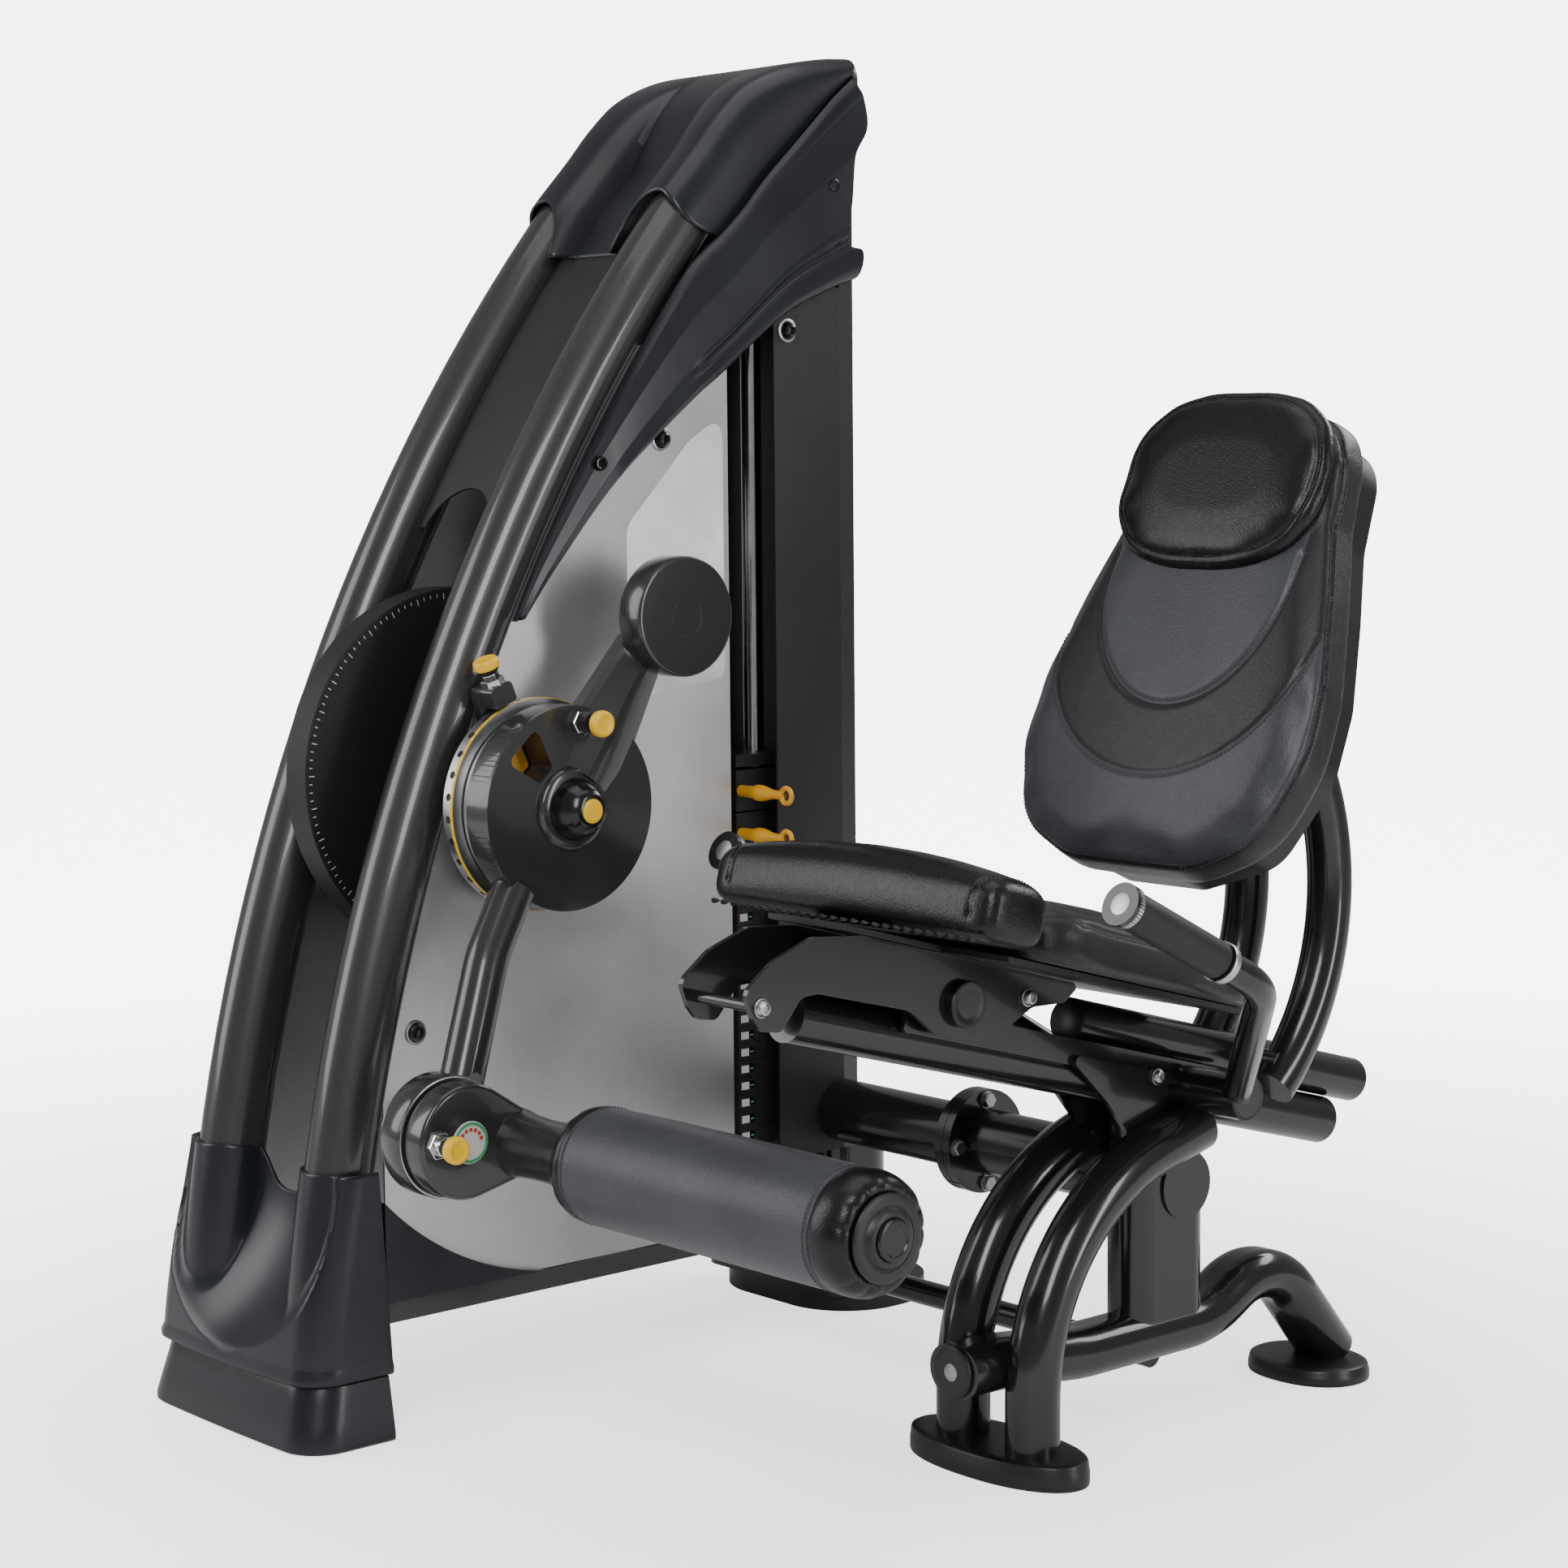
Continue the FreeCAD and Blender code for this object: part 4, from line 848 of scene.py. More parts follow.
def zoned_vinyl(name, zone, base=(0.046, 0.049, 0.06), dark=(0.006, 0.006, 0.007)):
    """Two-tone vinyl: zone(tree, x, y, z) gives 1 where the lighter cover shows."""
    m = vinyl(name, base, 0.4)
    t = m.node_tree
    b = t.nodes["Principled BSDF"]
    sep = t.nodes.new("ShaderNodeSeparateXYZ")
    t.links.new(coords(t), sep.inputs[0])
    mask = zone(t, *sep.outputs)
    light = b.inputs["Base Color"].links[0].from_socket
    cloud = noise(t, coords(t), 9, 3)
    black = cloudy(t, cloud, dark, 0.8, 1.3)
    t.links.new(mix_rgb(t, mask, black, light), b.inputs["Base Color"])
    return m


def step(t, value, at, width=0.0015):
    """0 below, 1 above, over a narrow band."""
    return add(t, "MapRange", {"Value": value, "From Min": at - width, "From Max": at + width})


def ellipse(t, x, y, centre_y, half_x, half_y):
    """Distance measure of a U shape, straight above its centre: 1 on the line."""
    a = maths(t, "DIVIDE", x, half_x)
    b = maths(t, "DIVIDE", maths(t, "MINIMUM", maths(t, "SUBTRACT", y, centre_y), 0.0), half_y)
    return maths(t, "SQRT", maths(t, "ADD", maths(t, "MULTIPLY", a, a), maths(t, "MULTIPLY", b, b)))


def crowned(outline, levels):
    """A closed form: the outline repeated at (inset, height) levels, closed above and below."""
    pts = np.array(outline, float)
    shell = Shell()
    shell.loft([[(u, v, h) for u, v in inset_round(pts, e)] for e, h in levels], 0, True, (True, True))
    return shell


def inset_round(pts, distance):
    """Shrinks an outline towards its middle, keeping its form."""
    mid = (pts.max(0) + pts.min(0)) / 2
    half = (pts.max(0) - pts.min(0)) / 2
    return mid + (pts - mid) * (1 - distance / half)


RECLINE = Matrix.Rotation(math.radians(66), 4, "X")
PAD_AT = Matrix.Translation(P(SEAT, 148.8 + 0.9135 * 48, 613.5 - 0.4067 * 48)) @ RECLINE
BACK = [(-92, 10, 80), (92, 10, 80), (176, 48, 90), (208, 140, 120), (204, 225, 130), (177, 330, 160),
        (151, 415, 90), (138, 545, 70), (-138, 545, 70), (-151, 415, 90), (-177, 330, 160),
        (-204, 225, 130), (-208, 140, 120), (-176, 48, 90)]
def pillow_outline(half_u=142, half_v=104, centre_v=452, count=96):
    """A wide soft oval."""
    points = []
    for k in range(count):
        c, s = math.cos(2 * math.pi * k / count), math.sin(2 * math.pi * k / count)
        points.append((half_u * math.copysign(abs(c) ** 0.74, c),
                       centre_v + half_v * math.copysign(abs(s) ** 0.8, s)))
    return points


def arc_line(centre_v, half_u, half_v, height, top, n=40):
    pts = []
    for k in range(n + 1):
        a = math.pi * k / n
        pts.append((half_u * math.cos(a), centre_v - half_v * math.sin(a), height))
    return [(half_u, top, height)] + pts + [(-half_u, top, height)]


def backrest():
    outline = rounded(BACK, 8)
    shell = crowned(outline,
                    [(8, 0), (1, 3), (-2, 12), (-3, 24), (-2, 36), (1, 43), (7, 48), (30, 53), (90, 55)])
    pad = puff(shell, PAD_AT, lambda c: c[:, 2] < 3, 5.5, 7, 4)
    scoop = arc_line(350, 132, 158, 60, 372)
    crescent = arc_line(281, 180, 169, 60, 285)[1:-1]
    rim = [(u, v, 60) for u, v in inset_round(np.array(outline), 7)]
    dropped = []
    for line in (scoop, crescent, rim + rim[:1]):
        dropped.append([tuple(p) for p, _ in on_surface(pad, line, (0, 0, -1))])
    groove(pad, dropped[:1], 3.4, 4.0)
    groove(pad, dropped[1:], 2.0, 3.0)

    def zone(t, x, y, z):
        inner = step(t, ellipse(t, x, y, 0.350, 0.132, 0.158), 1.0, 0.008)
        outer = step(t, ellipse(t, x, y, 0.281, 0.180, 0.169), 1.0, 0.008)
        below = maths(t, "SUBTRACT", 1.0, step(t, y, 0.291, 0.002))
        outer = maths(t, "MULTIPLY", outer, below)
        grey = maths(t, "MAXIMUM", maths(t, "SUBTRACT", 1.0, inner), outer)
        return maths(t, "MULTIPLY", grey, step(t, z, 0.0405, 0.0012))

    pad_piece(pad, "backrest_cushion", [zoned_vinyl("backrest_vinyl", zone)], "carriage",
              ["backrest_pad"])
    seam(pad, "backrest_seams", [rim + rim[:1]], (0, 0, -1), PAD_AT, "carriage", 2.6)
    inner = arc_line(278, 183, 172, 60, 285)[1:-1]
    seam(pad, "backrest_zone_seam", [inner], (0, 0, -1), PAD_AT, "carriage")


def head_cushion():
    outline = pillow_outline()
    levels = [(10, 49.5), (2, 51), (-3, 56), (-4, 62), (-2, 68), (4, 72.5), (18, 76), (60, 79)]
    shell = crowned(outline, levels)
    pad = puff(shell, PAD_AT, lambda c: c[:, 2] < 51, 5, 5, 4)
    rim = [(u, v, 120) for u, v in inset_round(np.array(outline), 9)]
    line = [tuple(p) for p, _ in on_surface(pad, rim + rim[:1], (0, 0, -1))]
    groove(pad, [line], 2.2, 3.2)
    pad_piece(pad, "head_cushion", [VINYL_BLACK], "carriage", ["head_pillow"])
    seam(pad, "head_seams", [rim + rim[:1]], (0, 0, -1), PAD_AT, "carriage", 2.4)


TILT = Matrix.Rotation(math.radians(-15.19), 4, "X")
SEAT_AT = Matrix.Translation(P(SEAT, 0, 619 - 0.2715 * 326 + 1)) @ TILT


def seat_pad():
    outline = rounded([(-190, -163, 60), (190, -163, 60), (192, 60, 200), (178, 214, 90), (-178, 214, 90),
                       (-192, 60, 200)], 8)
    pts = np.array(outline)
    shell = Shell()
    rings = []
    for e, h in [(10, 1), (2, 3), (-1, 12), (0, 30), (4, 43), (14, 52), (40, 58), (90, 60)]:
        ring = []
        for u, v in inset_round(pts, e):
            lift = 1 - 0.42 * smoothstep(20, 220, v)
            ring.append((u, v, h * lift - (4 * (1 - min(1, abs(u) / 90)) if h > 53 else 0)))
        rings.append(ring)
    shell.loft(rings, 0, True, (True, True))
    pad = puff(shell, SEAT_AT, lambda c: c[:, 2] < 3, 5.5, 6, 4)
    lines = [[(s * 118, -160, 90), (s * 126, -60, 90), (s * 122, 60, 90), (s * 92, 165, 90),
              (s * 60, 211, 90)] for s in (-1, 1)]
    dropped = [[tuple(p) for p, _ in on_surface(pad, line, (0, 0, -1))] for line in lines]
    rim = [(u, v, 90) for u, v in inset_round(pts, 12)]
    dropped.append([tuple(p) for p, _ in on_surface(pad, rim + rim[:1], (0, 0, -1))])
    groove(pad, dropped, 2.2, 3.4)

    def zone(t, x, y, z):
        width = maths(t, "SUBTRACT", 0.126, maths(t, "MULTIPLY", maths(t, "MAXIMUM", y, 0.0), 0.3))
        inside = maths(t, "SUBTRACT", width, maths(t, "ABSOLUTE", x))
        return maths(t, "MULTIPLY", step(t, inside, 0.0), step(t, z, 0.03, 0.001))

    pad_piece(pad, "seat_pad", [zoned_vinyl("seat_vinyl", zone)], "frame", ["seat_cushion"])
    seam(pad, "seat_seams", [rim + rim[:1]] + lines, (0, 0, -1), SEAT_AT, "frame", 2.2)


BOLSTER_AT = Matrix.Translation(P(SEAT, -205, 630)) @ Matrix.Rotation(math.radians(-15.2), 4, "X")


def thigh_bolster():
    rings = []
    for x, e in [(-206, 16), (-204, 8), (-197, 2), (-184, 0), (-150, 0), (-110, 0), (-60, 0), (0, 0),
                 (60, 0), (110, 0), (150, 0), (184, 0), (197, 2), (204, 8), (206, 16)]:
        top = 26 + 19 * (1 - (x / 206) ** 2)
        ring = []
        for k in range(48):
            a = 2 * math.pi * k / 48
            c, s = math.cos(a), math.sin(a)
            power = 0.62 if s > 0 else 0.42
            y = (43 - e) * math.copysign(abs(c) ** power, c)
            z = (top - e) * s ** 0.8 if s > 0 else -(36 - e) * abs(s) ** 0.35
            ring.append((x, y, z))
        rings.append(ring)
    shell = Shell()
    shell.loft(rings, 0, True, (True, True))
    pad = puff(shell, BOLSTER_AT, lambda c: c[:, 2] < -34, 5, 4, 4)
    ends = []
    for side in (-1, 1):
        hoop = []
        for k in range(31):
            a = math.radians(-20 + 220 * k / 30)
            hoop.append((side * (176 + 12 * math.sin(a) ** 2), 47 * math.cos(a), 36 * math.sin(a)))
        ends.append(hoop)
    groove(pad, ends, 3.0, 3.0)
    shell = Shell()
    tree = BVHTree.FromPolygons([v.co for v in pad.data.vertices], [p.vertices for p in pad.data.polygons])
    for hoop in ends:
        for shift in (-3.0, 3.0):
            row = []
            for p in spline(hoop, 90):
                spot, normal, _, _ = tree.find_nearest(Vector((p[0] + shift, p[1], p[2])) / 1000)
                row.append((spot * 1000, normal))
            stitches(shell, row)
    for i in range(26):
        x = -190 + 380 * i / 25
        bulge = [(x + d, -45 + 3 * abs(d) / 6, -35 - 1.5 * math.cos(d / 6 * 1.4))
                 for d in (-6, -3, 0, 3, 6)]
        shell.sweep(bulge, [0.6, 2.4, 3.2, 2.4, 0.6], 1, 8)
    pad_piece(pad, "bolster_cushion", [VINYL_BLACK], "frame", ["bolster"])
    build("bolster_seams", shell, [THREAD, VINYL_BLACK], "frame", frame_of=BOLSTER_AT)


def ankle_roller():
    """The grey sleeve, with gathered black ends drawn in round the spool."""
    shell = Shell()
    at = (0, *ROLLER)
    segs = 144
    profile = [(90, 42, 0.2), (90.5, 47, 1), (92, 52, 1), (97, 57.6, 0.6), (104, 60, 0.2), (111, 60.4, 0),
               (113, 59.2, 0), (115, 60.2, 0), (122, 60.6, 0), (200, 60.8, 0), (309, 61, 0),
               (420, 60.8, 0), (482, 60.4, 0), (486, 60.2, 0), (488, 58.9, 0), (490, 60.2, 0),
               (497, 61, 0), (507, 61, 0.1), (516, 59.6, 0.3), (523, 57, 0.6), (528, 53.4, 1.1),
               (530.6, 49.2, 1.7), (530.9, 45.5, 2.2), (529.6, 41.5, 2.2), (527.5, 36, 0.4)]
    ids = []
    for x, r, pleat in profile:
        ring = []
        for k in range(segs):
            a = 2 * math.pi * k / segs
            fold = abs(math.sin(6.5 * a + 0.6 * math.sin(3 * a))) ** 0.5
            lump = 0.35 * math.sin(3 * a + x / 70) + 0.25 * math.sin(5 * a - x / 45)
            rr = r - pleat * (1 - fold) * 1.6 + (lump if 116 < x < 485 else 0)
            ring.append((x - pleat * (1 - fold) * (1 if x > 300 else -1) * 0.8,
                         at[1] + rr * math.cos(a), at[2] + rr * math.sin(a)))
        ids.append(shell.add(ring))
    for i, (a, b) in enumerate(zip(ids, ids[1:])):
        shell.join(a, b, 0 if 113 <= profile[i][0] < 488 else 1)
    o = build("roller_cushion", shell, [VINYL_GREY, VINYL_BLACK], "roller", ["roller_pad"],
              angle=180)
    thread = Shell()
    for x in (118, 483):
        ring = []
        for k in range(241):
            a = 2 * math.pi * k / 240
            n = Vector((0, math.cos(a), math.sin(a)))
            ring.append((Vector((x, at[1], at[2])) + n * 60.8, n))
        stitches(thread, ring, 4.5, 3.0, 0.5)
    build("roller_seams", thread, THREAD, "roller")


backrest()
head_cushion()
seat_pad()
thigh_bolster()
ankle_roller()

# ------------------------------------------------------------------ hub, lever and lower joint
def hex_nut(shell, at, axis, across, height, slot):
    r = across / 2 / math.cos(math.pi / 6)
    shell.revolve([(0, 0), (0, r * 0.93), (0.8, r), (height - 0.8, r), (height, r * 0.93), (height, 0)],
                  at, axis, slot, 6)


def pull_knob(name, at, axis, reach, body, replace):
    """Spring plunger: pin, sleeve, black neck and a dished yellow cap."""
    shell = Shell()
    shell.revolve([(0, 0), (0.2, 4.4), (1.2, 5.4), (reach - 26, 5.4), (reach - 26, 6.4), (reach - 14, 6.4),
                   (reach - 14, 5)], at, axis, 1, 32)
    shell.revolve([(reach - 21, 5), (reach - 21, 8.6), (reach - 18, 9.2), (reach - 8, 8), (reach - 5, 9.5),
                   (reach - 2, 12.2), (reach, 12.6), (reach, 4)], at, axis, 2, 32)
    shell.revolve([(reach, 6), (reach, 12.8), (reach + 1.2, 14.2), (reach + 6, 14.8), (reach + 9.5, 14.2),
                   (reach + 11.4, 12.6), (reach + 11.9, 11), (reach + 11.5, 9.6), (reach + 10.9, 8.6),
                   (reach + 10.8, 4), (reach + 10.9, 0)], at, axis, 0, 40)
    return build(name, shell, [YELLOW, CHROME, RUBBER], body, replace, angle=38)


def hub_fittings():
    y0, z0 = HUB
    scale = Shell()
    scale.revolve([(-182.2, 117.2), (-182.4, 118.5), (-178.6, 118.5), (-178.6, 117.2)], (0, y0, z0),
                  segs=160)
    for k in range(32):
        a = math.radians(100 + k * 6)
        n = Vector((0, math.cos(a), math.sin(a)))
        base = Vector((0, y0, z0)) + n * 118.55
        long = 1.7 if k % 2 == 0 else 0.9
        t = Vector((0, -n.z, n.y)) * 0.45
        ids = scale.add([base + t + Vector((-182, 0, 0)), base - t + Vector((-182, 0, 0)),
                         base - t + Vector((-182 + long * 1.6, 0, 0)),
                         base + t + Vector((-182 + long * 1.6, 0, 0))])
        scale.face(ids, 1)
    build("range_scale", scale, [YELLOW, GLOSS_BLACK], "stop_ring", angle=40)

    lever = Shell()
    lever.revolve([(-159.6, 111), (-158.4, 113), (-126, 113), (-123.5, 112.4), (-122.2, 110.8),
                   (-122, 109.4)], (0, y0, z0), segs=160)
    build("lever_rim", lever, LEVER, "lever", angle=40)

    boss = Shell()
    boss.revolve([(-122.2, 46), (-120.5, 46), (-116.5, 44.2), (-114.6, 41.5), (-114.2, 34)], (0, y0, z0),
                 segs=96)
    build("lever_boss", boss, LEVER, "lever", angle=40)

    cap = Shell()
    cap.revolve([(-121.4, 34), (-115, 34), (-113, 33.2), (-110, 32.8), (-104, 31.5), (-96, 28.5), (-89, 24),
                 (-85, 20), (-83.6, 17.5), (-83.2, 14.2), (-83.8, 13.4)], (0, y0, z0), slot=0, segs=72)
    cap.revolve([(-499, 0), (-499, 19), (-498, 20), (-123, 20), (-122, 34), (-121.4, 34)], (0, y0, z0),
                slot=2, segs=48)
    cap.revolve([(-84, 13.4), (-83.0, 13.2), (-82.4, 12.2), (-82.2, 10), (-82.0, 0)], (0, y0, z0), slot=1,
                segs=48)
    build("hub_cap", cap, [GLOSS_BLACK, YELLOW, CHROME], "cam", ["hub_shaft"], angle=40)

    window = Shell()
    turn = math.radians(133)

    def turned(u, v):
        return (y0 + u * math.cos(turn) - v * math.sin(turn), z0 + u * math.sin(turn) + v * math.cos(turn))

    sector = [turned(u, v) for u, v in ((52, -12), (96, -27), (99, -3), (96, 22), (52, 9))]
    ids = window.add([(-162.4, y, z) for y, z in sector])
    window.face(ids, 0)
    for k in range(7):
        a = turn + math.radians(-14 + 4.6 * k)
        long = 93 if k % 2 == 0 else 88
        c, s = math.cos(a), math.sin(a)
        pts = [(-162.1, y0 + r * c - t * s, z0 + r * s + t * c)
               for r, t in ((80, -0.7), (long, -0.7), (long, 0.7), (80, 0.7))]
        window.face(window.add(pts), 1)
    build("start_scale", window, [ORANGE, GLOSS_BLACK], "cam", angle=40)

    nuts = Shell()
    hex_nut(nuts, (-122, *START_KNOB), (1, 0, 0), 24, 7, 0)
    nuts.revolve([(7, 8), (7, 10.2), (13, 10.2), (14, 9.4), (14, 7)], (-122, *START_KNOB), (1, 0, 0), 0, 32)
    build("lever_pin_sleeve", nuts, CHROME, "lever", angle=35)
    pull_knob("lever_knob", (-162.5, *START_KNOB), (1, 0, 0), 74, "start_pin",
              ["lever_pin"])

    d = Vector((0, -48, 120)).normalized()
    root = Vector((-187, y0, z0))
    collar = Shell()
    hex_nut(collar, root + d * 144, d, 23, 9, 0)
    collar.revolve([(9, 7.6), (9, 9.6), (15, 9.2), (16, 7.6)], root + d * 144, d, 0, 32)
    build("stop_pin_sleeve", collar, CHROME, "frame", angle=35)
    pull_knob("stop_knob", root + d * 119, d, 46, "stop_plunger", ["stop_pin"])

    weight = Shell()
    weight.revolve([(-123.4, 0), (-123.4, 64), (-122.2, 66.4), (-120, 67), (-88.5, 67), (-86.4, 66.2),
                    (-85.6, 64.5), (-85.5, 62), (-85.5, 21.4), (-86.1, 21), (-86.1, 20), (-85.5, 19.6),
                    (-85.5, 0)], (0, *WEIGHT), segs=128)
    build("weight_disc", weight, LEVER, "lever", ["counterweight"], angle=35)

    arm = Shell()
    reach = Vector((0, WEIGHT[0] - y0, WEIGHT[1] - z0))
    ahead = reach.normalized()
    across = Vector((0, -ahead.z, ahead.y))
    rings = []
    for s, half, deep in ((38, 40, 17), (70, 46, 17), (100, 44, 17), (130, 40, 17), (165, 35, 17),
                          (190, 31.5, 17), (204, 29.5, 17)):
        base = Vector((-122, y0, z0)) + ahead * s
        ridge = 7.0
        ring = [base + across * half + Vector((-24, 0, 0)),
                base + across * half + Vector((deep - 25, 0, 0)),
                base + across * (half - 5) + Vector((deep - 18.5, 0, 0)),
                base + across * ridge + Vector((deep - 6, 0, 0)),
                base - across * 2 + Vector((deep - 6.3, 0, 0)),
                base - across * (half - 5) + Vector((deep - 18.5, 0, 0)),
                base - across * half + Vector((deep - 25, 0, 0)),
                base - across * half + Vector((-24, 0, 0))]
        rings.append(ring)
    arm.loft(rings, 0, True, (True, True))
    build("weight_arm_cover", arm, LEVER, "lever", angle=20)


def lower_joint():
    y0, z0 = JOINT
    base = Shell()
    base.revolve([(-95.4, 0), (-95.4, 61), (-94.6, 64), (-92.5, 65.4), (-63.5, 65.4), (-61.4, 64.6),
                  (-60.9, 63)], (0, y0, z0), segs=128)
    base.revolve([(-60.95, 63), (-60.6, 64.4), (-60.3, 63)], (0, y0, z0), slot=1, segs=128)
    build("joint_drum", base, [LEVER, STEEL], "lever", angle=35)

    # the link's tapered arm, from the round face to the roller boss
    link = Shell()
    face = [(y0 + 61 * math.cos(a), z0 + 61 * math.sin(a)) for a in
            (math.radians(v) for v in np.linspace(57, 282, 46))]
    tip = [(ROLLER[0] + 34 * math.cos(a), ROLLER[1] + 34 * math.sin(a)) for a in
           (math.radians(v) for v in np.linspace(-76, 56, 26))]
    outline = face + tip
    link.plate(outline, -59.8, -26.5, edge=5, steps=5)
    boss_path = [(-52, 37), (-45, 38), (-32, 37), (-24, 35), (-8, 33.5), (20, 32.5), (48, 33.5), (66, 36),
                 (74.5, 38), (78, 38)]
    link.revolve([(x, r) for x, r in boss_path] + [(78, 0)], (0, *ROLLER), segs=64)
    build("link_shell", link, LEVER, "link", ["link_casting"], angle=30)

    fit = Shell()
    fit.revolve([(-26.6, 22.5), (-25.4, 22.5), (-24.6, 21.6), (-24.6, 0)], (0, y0, z0), slot=0, segs=64)
    fit.revolve([(-24.62, 21.6), (-24.35, 21.2), (-24.35, 18.6), (-24.55, 18.2)], (0, y0, z0), slot=1,
                segs=64)
    for k in range(7):
        a = math.radians(15 + 25 * k)
        fit.revolve([(-24.7, 0.1), (-24.4, 2.3), (-24.2, 2.0), (-24.15, 0)],
                    (0, y0 + 13.6 * math.cos(a), z0 + 13.6 * math.sin(a)), slot=2, segs=16)
    hex_nut(fit, ANKLE_KNOB, (1, 0, 0), 26, 7, 3)
    fit.revolve([(7, 8), (7, 10.4), (14, 10.2), (15, 9), (15, 7)], ANKLE_KNOB, (1, 0, 0), 3, 32)
    build("link_dial", fit, [PALE, GREEN, RED, CHROME], "link", angle=35)
    pull_knob("link_knob", (-60.2, *ANKLE_KNOB[1:]), (1, 0, 0), 61, "ankle_pin",
              ["link_pin"])


def roller_ends():
    at = (0, *ROLLER)
    spool = Shell()
    spool.revolve([(80, 13), (80, 40), (81, 43.4), (83, 44), (87, 44), (88.6, 43), (89, 40), (89, 20)], at,
                  segs=72)
    spool.revolve([(529.6, 20), (529.6, 40), (531, 42.4), (534, 42.8), (536, 41.6), (537, 39), (537, 31.5),
                   (536.2, 30.8), (536.2, 29.8), (537, 29), (538.5, 28), (541, 26.5), (542, 24.5),
                   (542, 21.4)], at, segs=96)
    build("spool_caps", spool, BLACK, "roller", ["roller_spool"], angle=32)
    axle = Shell()
    axle.revolve([(50, 0), (50, 13), (541, 13), (541, 20.6), (544, 20.6), (546, 19.6), (546.6, 17.5),
                  (546.2, 15.4), (545.2, 14.6), (545.2, 0)], at, segs=64)
    build("axle_end", axle, GLOSS_BLACK, "link", ["roller_axle"], angle=32)


hub_fittings()
lower_joint()
roller_ends()


# ------------------------------------------------------------------ cam, stack and tower details
def cam_marks():
    shell = Shell()
    y0, z0 = -245, 710
    for k in range(64):
        a = math.radians(95 + k * 2.6)
        long = 7 if k % 4 == 0 else 4
        c, s = math.cos(a), math.sin(a)
        pts = [(-342.85, y0 + r * c - t * s, z0 + r * s + t * c)
               for r, t in ((203 - long, -0.5), (203, -0.5), (203, 0.5), (203 - long, 0.5))]
        shell.face(shell.add(pts))
    build("cam_ticks", shell, PALE, "cam", angle=40)
    rim = Shell()
    rim.revolve([(-343.6, 206.8), (-342.9, 206.2), (-342.8, 204), (-343.4, 203.4)], (0, y0, z0), segs=180)
    build("cam_rim", rim, PLATE, "cam", angle=60)


def stack_marks():
    for body, first, last in (("stack", 11, 15), ("frame", 0, 11)):
        shell = Shell()
        for i in range(first, last):
            z = 240 + 20.4 * i + 10
            for slot, y0, y1, half in ((0, 84, 96, 4.5), (1, 98, 103, 1)):
                square = [(y0, z - half), (y0, z + half), (y1, z + half), (y1, z - half)]
                shell.face(shell.add([(-236.85, y, zz) for y, zz in square]), slot)
        build("stack_marks_" + body, shell, [PALE, GREEN], body, angle=40)


def addon_pull(name, z, body, node_name):
    """Bottle-shaped orange handle with an eye at its end."""
    shell = Shell()
    y = 88
    shell.revolve([(-290, 0), (-290, 7), (-222, 7), (-214, 7.6), (-208, 9.4), (-200, 9.6), (-192, 8.2),
                   (-184, 6.2), (-176, 5.2), (-168, 5.2), (-164, 5.6), (-161, 4)], (0, y, z), segs=32)
    turns = [2 * math.pi * k / 32 for k in range(33)]
    shell.sweep([(-156 + 9 * math.cos(a), y, z + 9 * math.sin(a)) for a in turns], 3.0, 0, 12)
    build(name, shell, ORANGE, body, [node_name], angle=50)


def bolts():
    shell = Shell()
    tower = [(-217.5, -44, 1084), (-216.5, 149, 1210), (-217.5, -400, 441), (-217.5, 20, 420)]
    seat = [(352.2, 170, 395), (345.6, 250, 373)]
    for x, y, z in tower:
        shell.revolve([(0, 11), (1.2, 11), (1.4, 9.6), (4.5, 9.4), (7.5, 8), (9, 5.2), (9.2, 4.4),
                       (6.4, 4.2), (6.4, 0)], (x, y, z), slot=1, segs=32)
        shell.revolve([(0, 14), (0.6, 14), (1.0, 13.4), (1.0, 9)], (x, y, z), slot=0, segs=32)
    for x, y, z in seat:
        shell.revolve([(0, 9), (1.2, 9.2), (1.4, 8.2), (4.2, 7.8), (6.2, 6), (6.8, 3.6), (5, 3.2), (5, 0)],
                      (x, y, z), slot=0, segs=32)
    for flip in (1, -1):
        for y, z in ((-403, 541), (-40, 508)):
            shell.revolve([(0, 9.6), (1.4, 9.6), (1.6, 8.6), (5, 8), (7, 6.4), (7.6, 4), (5.6, 3.4),
                           (5.6, 0)], (SEAT + flip * 51.2, y, z), (flip, 0, 0), slot=0, segs=32)
    for dy, dz in ((0, 49), (0, -49), (49, 0), (-49, 0)):
        hex_nut(shell, (34.4, 227 + dy, 266 + dz), (1, 0, 0), 15, 8, 0)
        shell.revolve([(0, 10.5), (1.2, 10.5), (1.4, 6)], (34.4, 227 + dy, 266 + dz), slot=0, segs=32)
    build("bolt_heads", shell, [ZINC, GLOSS_BLACK], "frame", ["frame_bolts"], angle=35)


def blank_plate():
    """A plain pale plate where the instructions would be."""
    corners = [(-96, 788, 10), (48, 806, 14), (48, 1113, 18), (-4, 1080, 20), (-96, 985, 26)]
    shell = Shell()
    shell.plate(rounded(corners), -217.95, -217.15, edge=0.3)
    build("blank_plate", shell, PLATE_PALE, "frame", angle=30)


blank_plate()
cam_marks()
stack_marks()
addon_pull("addon_handle_low", 616.5, "addon_low", "addon_lever_lower")
addon_pull("addon_handle_high", 667.5, "addon_high", "addon_lever_upper")
bolts()


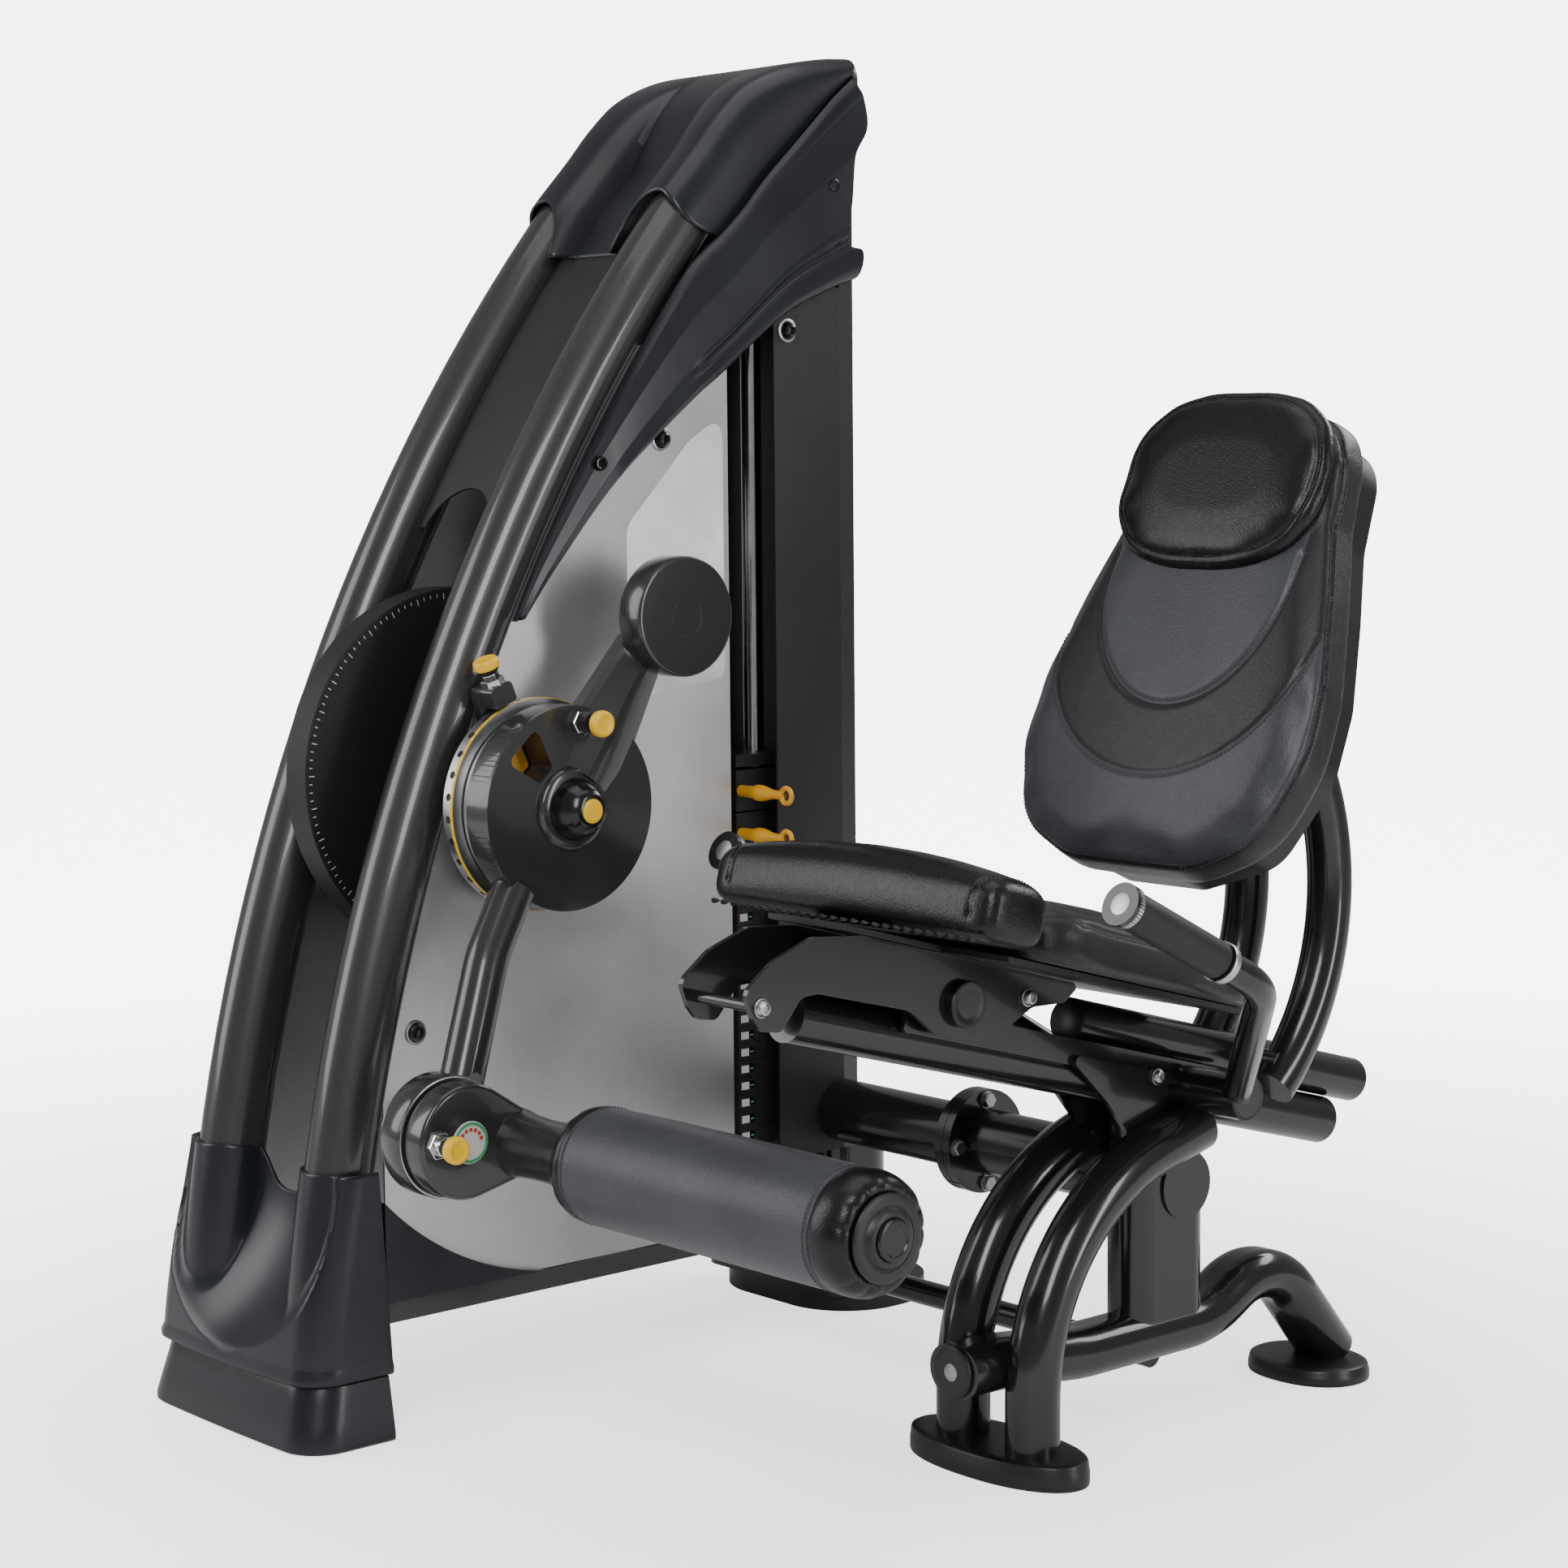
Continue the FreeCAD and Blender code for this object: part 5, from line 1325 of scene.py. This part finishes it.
# ------------------------------------------------------------------ seat frame details
def grips_and_caps():
    rubber, metal = Shell(), Shell()
    bend, end = Vector((606, 44, 538)), Vector((602, -149, 636))
    d = (end - bend).normalized()
    for flip in (1, -1):
        def side(p):
            return Vector((SEAT + flip * (p.x - SEAT), p.y, p.z))

        tip = side(end)
        back = side(end - d * 10)
        axis = (tip - back).normalized()
        root = side(end - d * 141)
        rubber.revolve([(0, 15), (0, 18.4), (1.2, 19.2), (4, 19.4), (136, 19.6), (139, 19.2), (140, 18),
                        (140, 15)], root, axis, 0, 48)
        metal.revolve([(-1, 17), (-0.6, 21.4), (0.6, 22), (5.6, 22), (6.2, 21.2), (6.8, 22), (7.8, 21.8),
                       (9.6, 20), (11.2, 16), (12.2, 10), (12.6, 0)], tip, axis, 0, 56)
        metal.revolve([(-1.2, 16.4), (-0.6, 20.6), (0.6, 21.3), (7.6, 21.3), (9, 20.6), (9.6, 18.5)],
                      side(end - d * 152), axis, 0, 56)
    build("grip_sleeves", rubber, RUBBER, "frame", ["grips"], angle=40)
    build("grip_caps", metal, STEEL, "frame", angle=40)


def round_caps():
    shell = Shell()
    for flip in (1, -1):
        x0 = SEAT + flip * 51
        shell.revolve([(0, 24.4), (9, 24.4), (10.4, 23.4), (10.8, 21.6), (9.6, 18), (8.6, 12), (8.2, 0)],
                      (x0, -134, 513), (flip, 0, 0), 0, 64)
        x1 = SEAT + flip * 130.6
        shell.revolve([(-2, 24.6), (-0.6, 24.2), (0.2, 22.6), (-0.4, 19), (-0.6, 0)], (x1, 214, 378),
                      (flip, 0, 0), 0, 64)
    build("round_caps", shell, BLACK, "frame", angle=35)

    plug = Shell()
    plug.revolve([(0, 24.4), (1.6, 24.2), (2.6, 22.6), (2.8, 0)], (SEAT, 72.7, 463.8), (0, -0.965, 0.262),
                 0, 56)
    build("carriage_plug", plug, BLACK, "carriage", angle=35)

    rail = Shell()
    rings = []
    for y, a, b in ((-92, 26, 34), (-99, 27.2, 35.6), (-101.6, 26.6, 35), (-102.6, 24.5, 33),
                    (-102.8, 20, 28)):
        rings.append([(SEAT + a * 1.32 * math.cos(t) * 0.78, y, 114 + b * 0.8 * math.sin(t))
                      for t in (2 * math.pi * k / 64 for k in range(64))])
    rail.loft(rings, 0, True, (False, True))
    rail.revolve([(0, 9.4), (0.7, 9.2), (1, 8.4), (1, 0)], (SEAT, -102.6, 114), (0, -1, 0), 1, 40)
    build("rail_cap", rail, [BLACK, ZINC], "frame", angle=35)


def foot_plate(name, y, half_x, half_y, high, replace=()):
    rings = []
    for e, z in ((3, 0.3), (0.6, 0.9), (0, 2.5), (0, high * 0.55), (0.8, high * 0.62), (1.2, high - 4),
                 (2.4, high - 1.4), (5, high), (14, high + 0.2)):
        ring = []
        for k in range(120):
            t = 2 * math.pi * k / 120
            c, s = math.cos(t), math.sin(t)
            ring.append((SEAT + (half_x - e) * math.copysign(abs(c) ** 0.88, c),
                         y + (half_y - e) * math.copysign(abs(s) ** 0.95, s), z))
        rings.append(ring)
    shell = Shell()
    shell.loft(rings, 0, True, (True, True))
    build(name, shell, BLACK, "frame", replace, angle=35)


def welds():
    """The bead round the beam at its flange."""
    shell = Shell()
    path = []
    for k in range(49):
        t = 2 * math.pi * k / 48
        path.append((10.2, 227 + 38.6 * math.cos(t), 266 + 38.6 * math.sin(t)))
    shell.sweep(path, [2.6 + 0.5 * math.sin(k * 2.6) for k in range(49)], 0, 8)
    build("weld_beads", shell, FRAME_SHADED, "frame", angle=60)


grips_and_caps()
round_caps()
foot_plate("foot_front", -33, 120, 55, 27.8, ["seat_feet"])
foot_plate("foot_rear", 476, 74, 58, 19.8)
welds()

# ------------------------------------------------------------------ camera, light and floor
def look(azimuth, pitch, roll):
    a, p, q = (math.radians(v) for v in (azimuth, pitch, roll))
    forward = Vector((-math.sin(a) * math.cos(p), math.cos(a) * math.cos(p), -math.sin(p)))
    right = Vector((math.cos(a), math.sin(a), 0))
    up = right.cross(forward)
    r = right * math.cos(q) + up * math.sin(q)
    u = up * math.cos(q) - right * math.sin(q)
    return Matrix(((r.x, u.x, -forward.x), (r.y, u.y, -forward.y), (r.z, u.z, -forward.z)))


camera = bpy.data.objects.new("camera", bpy.data.cameras.new("camera"))
bpy.context.scene.collection.objects.link(camera)
camera.data.lens = 74.35
camera.data.sensor_width = 36
camera.data.clip_end = 60
camera.matrix_world = Matrix.Translation(P(2671, -2399, 1074)) @ look(48.7, 5.95, -0.5).to_4x4()
bpy.context.scene.camera = camera


def area_light(name, at, towards, size, power, colour=(1, 1, 1)):
    data = bpy.data.lights.new(name, "AREA")
    data.shape = "RECTANGLE"
    data.size, data.size_y = size
    data.energy = power
    data.color = colour
    lamp = bpy.data.objects.new(name, data)
    bpy.context.scene.collection.objects.link(lamp)
    lamp.location = at
    lamp.rotation_euler = (Vector(towards) - Vector(at)).to_track_quat("-Z", "Y").to_euler()


area_light("key", (2.4, -2.8, 3.0), (0, 0, 0.7), (1.2, 2.6), 95)
area_light("fill", (-2.6, -2.8, 2.0), (-0.2, 0, 0.7), (1.6, 2.8), 60)
area_light("rim", (0.6, 3.0, 2.6), (0, 0, 0.8), (2.6, 0.8), 50)
area_light("side", (3.4, 0.9, 1.3), (0, 0, 0.7), (0.5, 2.2), 38)
area_light("top", (0, 0, 4.2), (0, 0, 0), (3.0, 3.0), 40)

# the backdrop and the far floor read as white, while the object is lit by a dimmer sky
SKY_LIGHT = 0.3
SKY_SEEN = 5.7
world = bpy.data.worlds.new("studio")
bpy.context.scene.world = world
world.use_nodes = True
sky = world.node_tree
seen = add(sky, "LightPath", {}, "Is Camera Ray")
feed(sky, sky.nodes["Background"], {0: (1.0, 1.0, 1.0, 1), 1: scaled(sky, seen, SKY_SEEN, SKY_LIGHT)})

FLOOR = 40
floor_mesh = bpy.data.meshes.new("floor")
corners = [(-FLOOR, -FLOOR, 0), (FLOOR, -FLOOR, 0), (FLOOR, FLOOR, 0), (-FLOOR, FLOOR, 0)]
floor_mesh.from_pydata(corners, [], [(0, 1, 2, 3)])
floor = bpy.data.objects.new("floor", floor_mesh)
bpy.context.scene.collection.objects.link(floor)
floor_mat, ft, fb = new_material("floor_pale")
reach = add(ft, "VectorMath", {0: add(ft, "NewGeometry", {}, "Position")}, "Value", operation="LENGTH")
glow = add(ft, "MapRange", {"Value": reach, "From Min": 0.6, "From Max": 3.2, "To Min": 1.6, "To Max": 6.0})
feed(ft, fb, {"Base Color": (0.97, 0.97, 0.97, 1),
              "Roughness": 0.9,
              "Emission Color": (1, 1, 1, 1),
              "Emission Strength": maths(ft, "MULTIPLY", add(ft, "LightPath", {}, "Is Camera Ray"), glow)})
floor.data.materials.append(floor_mat)
floor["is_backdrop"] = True

report_size("made")
